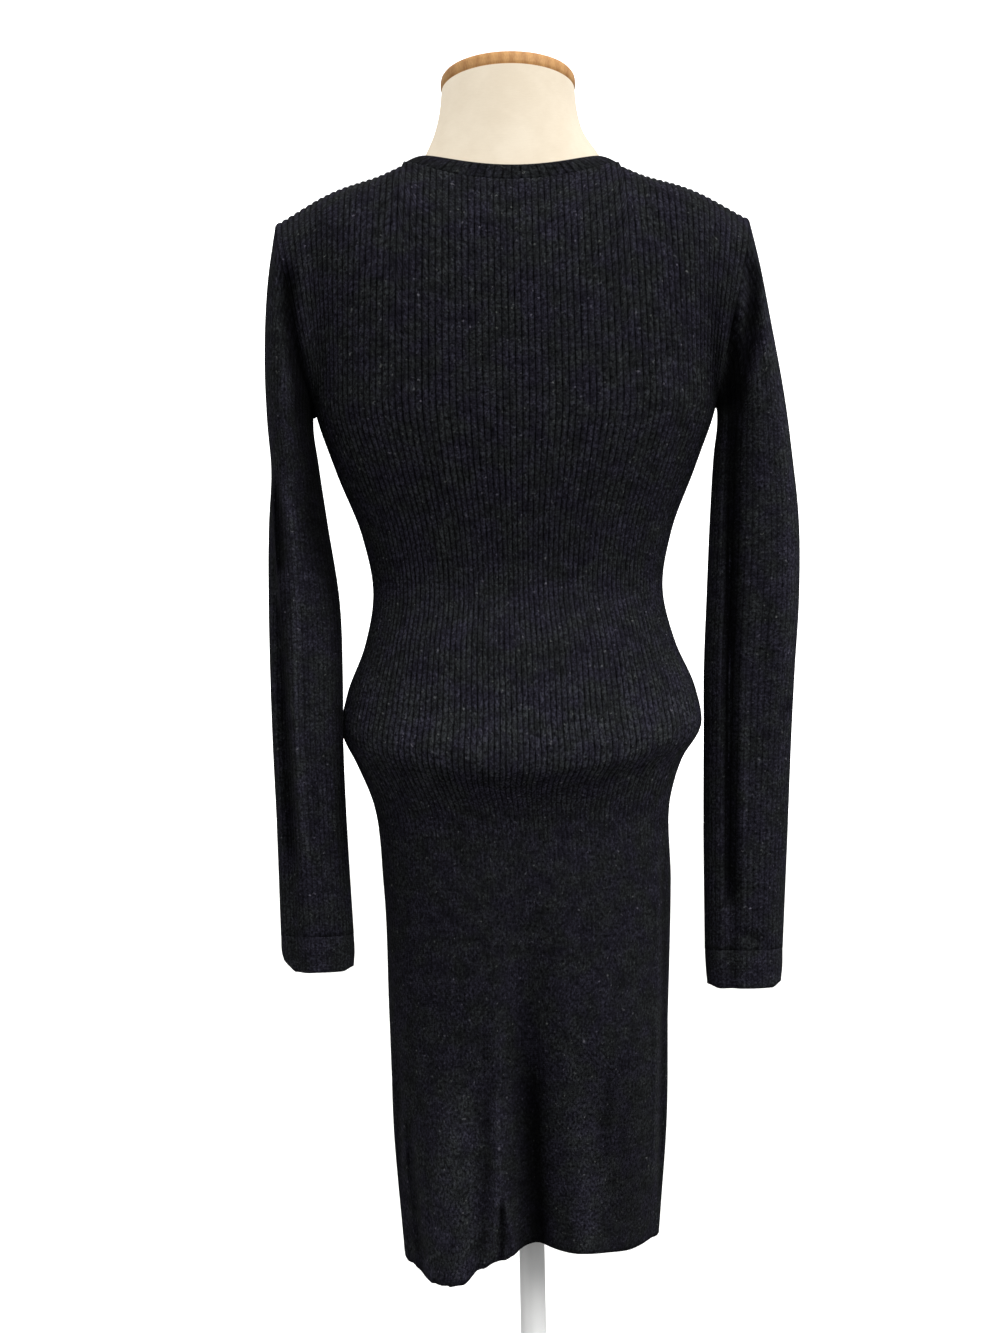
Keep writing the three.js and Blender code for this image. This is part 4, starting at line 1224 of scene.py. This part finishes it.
enamel = Finish("stand_enamel", Roughness=0.35, Coat_Weight=0.2, Coat_Roughness=0.1)
orange_peel = enamel.noise(enamel.place(), 420.0, 2.0, 0.5)
dust = enamel.noise(enamel.place(), 9.0, 4.0, 0.6)
enamel.link("Base Color", enamel.blend(enamel.range(dust, 0.4, 0.8), ENAMEL_WHITE, ENAMEL_DUSTY))
enamel.bump(orange_peel, 0.08, 0.0004)


# %% Turn the hard pieces
def turned(name, profile, segments=96):
    """A closed solid from steps of (radius, height) in mm, from its foot up."""
    deselect()
    radius, height = profile[0]
    bpy.ops.mesh.primitive_circle_add(vertices=segments, radius=radius * MM, fill_type="NGON",
                                      location=(0, 0, height * MM))
    piece = bpy.context.active_object
    piece.name = name
    piece.data.name = name
    bpy.ops.object.mode_set(mode="EDIT")
    bpy.ops.mesh.select_all(action="SELECT")
    bpy.ops.mesh.flip_normals()
    for (before, low), (after, high) in zip(profile, profile[1:]):
        bpy.ops.mesh.extrude_region_move(TRANSFORM_OT_translate={"value": (0, 0, (high - low) * MM)})
        bpy.ops.transform.resize(value=(after / before, after / before, 1),
                                 center_override=(0, 0, high * MM))
    bpy.ops.mesh.select_all(action="SELECT")
    bpy.ops.mesh.normals_make_consistent(inside=False)
    bpy.ops.object.mode_set(mode="OBJECT")
    bpy.ops.object.transform_apply(location=True, rotation=True, scale=True)
    bpy.ops.object.shade_smooth_by_angle(angle=math.radians(35))
    print(name, "faces", len(piece.data.polygons))
    return piece


CAP_RADIUS = 58.6
CAP_EDGE = 12.8
CAP_CROWN = 4
POLE_RADIUS = 11
FLANGE_RADIUS = 46
FLANGE_THICKNESS = 6
BASE_RADIUS = 190
BASE_THICKNESS = 8
BOSS_RADIUS = 24
BOSS_HEIGHT = 26
pole_foot = BASE_THICKNESS + BOSS_HEIGHT + SEAM_GAP
pole_top = FORM_FOOT_Z - SEAM_GAP

cap_edge = [(3, 0), (1.4, 0.4), (0.4, 1.6), (0, 3.4), (0, 7.5), (0.5, 10), (1.8, 11.8), (4, CAP_EDGE)]
cap_profile = [(CAP_RADIUS - inset, height) for inset, height in cap_edge]
for share in (0.85, 0.7, 0.5, 0.3, 0.12, 0.02):
    cap_profile.append((CAP_RADIUS * share, CAP_EDGE + CAP_CROWN * (1 - share**2)))
cap = turned("wooden_cap", cap_profile, segments=128)
tilt = Matrix.Rotation(-CAP_TILT, 4, "X")
cap.data.transform(Matrix.Translation(Vector(CAP_CENTRE * MM)) @ tilt)

pole = turned("round_pole", [
    (POLE_RADIUS, pole_foot), (POLE_RADIUS, pole_top - FLANGE_THICKNESS - 14),
    (POLE_RADIUS + 2, pole_top - FLANGE_THICKNESS - 6), (POLE_RADIUS + 7, pole_top - FLANGE_THICKNESS),
    (FLANGE_RADIUS - 1, pole_top - FLANGE_THICKNESS), (FLANGE_RADIUS, pole_top - FLANGE_THICKNESS + 1),
    (FLANGE_RADIUS, pole_top)], segments=64)
base = turned("round_base", [
    (BASE_RADIUS - 1, 0), (BASE_RADIUS, 1), (BASE_RADIUS, BASE_THICKNESS - 3),
    (BASE_RADIUS - 0.9, BASE_THICKNESS - 0.9), (BASE_RADIUS - 3, BASE_THICKNESS),
    (BOSS_RADIUS + 3, BASE_THICKNESS), (BOSS_RADIUS + 0.8, BASE_THICKNESS + 0.8),
    (BOSS_RADIUS, BASE_THICKNESS + 3), (BOSS_RADIUS - 2, BASE_THICKNESS + BOSS_HEIGHT - 1.5),
    (BOSS_RADIUS - 3.5, BASE_THICKNESS + BOSS_HEIGHT)], segments=128)
stand_in(cap, "neck_cap", wood.material)
stand_in(pole, "stand_pole", enamel.material)
stand_in(base, "stand_base", enamel.material)
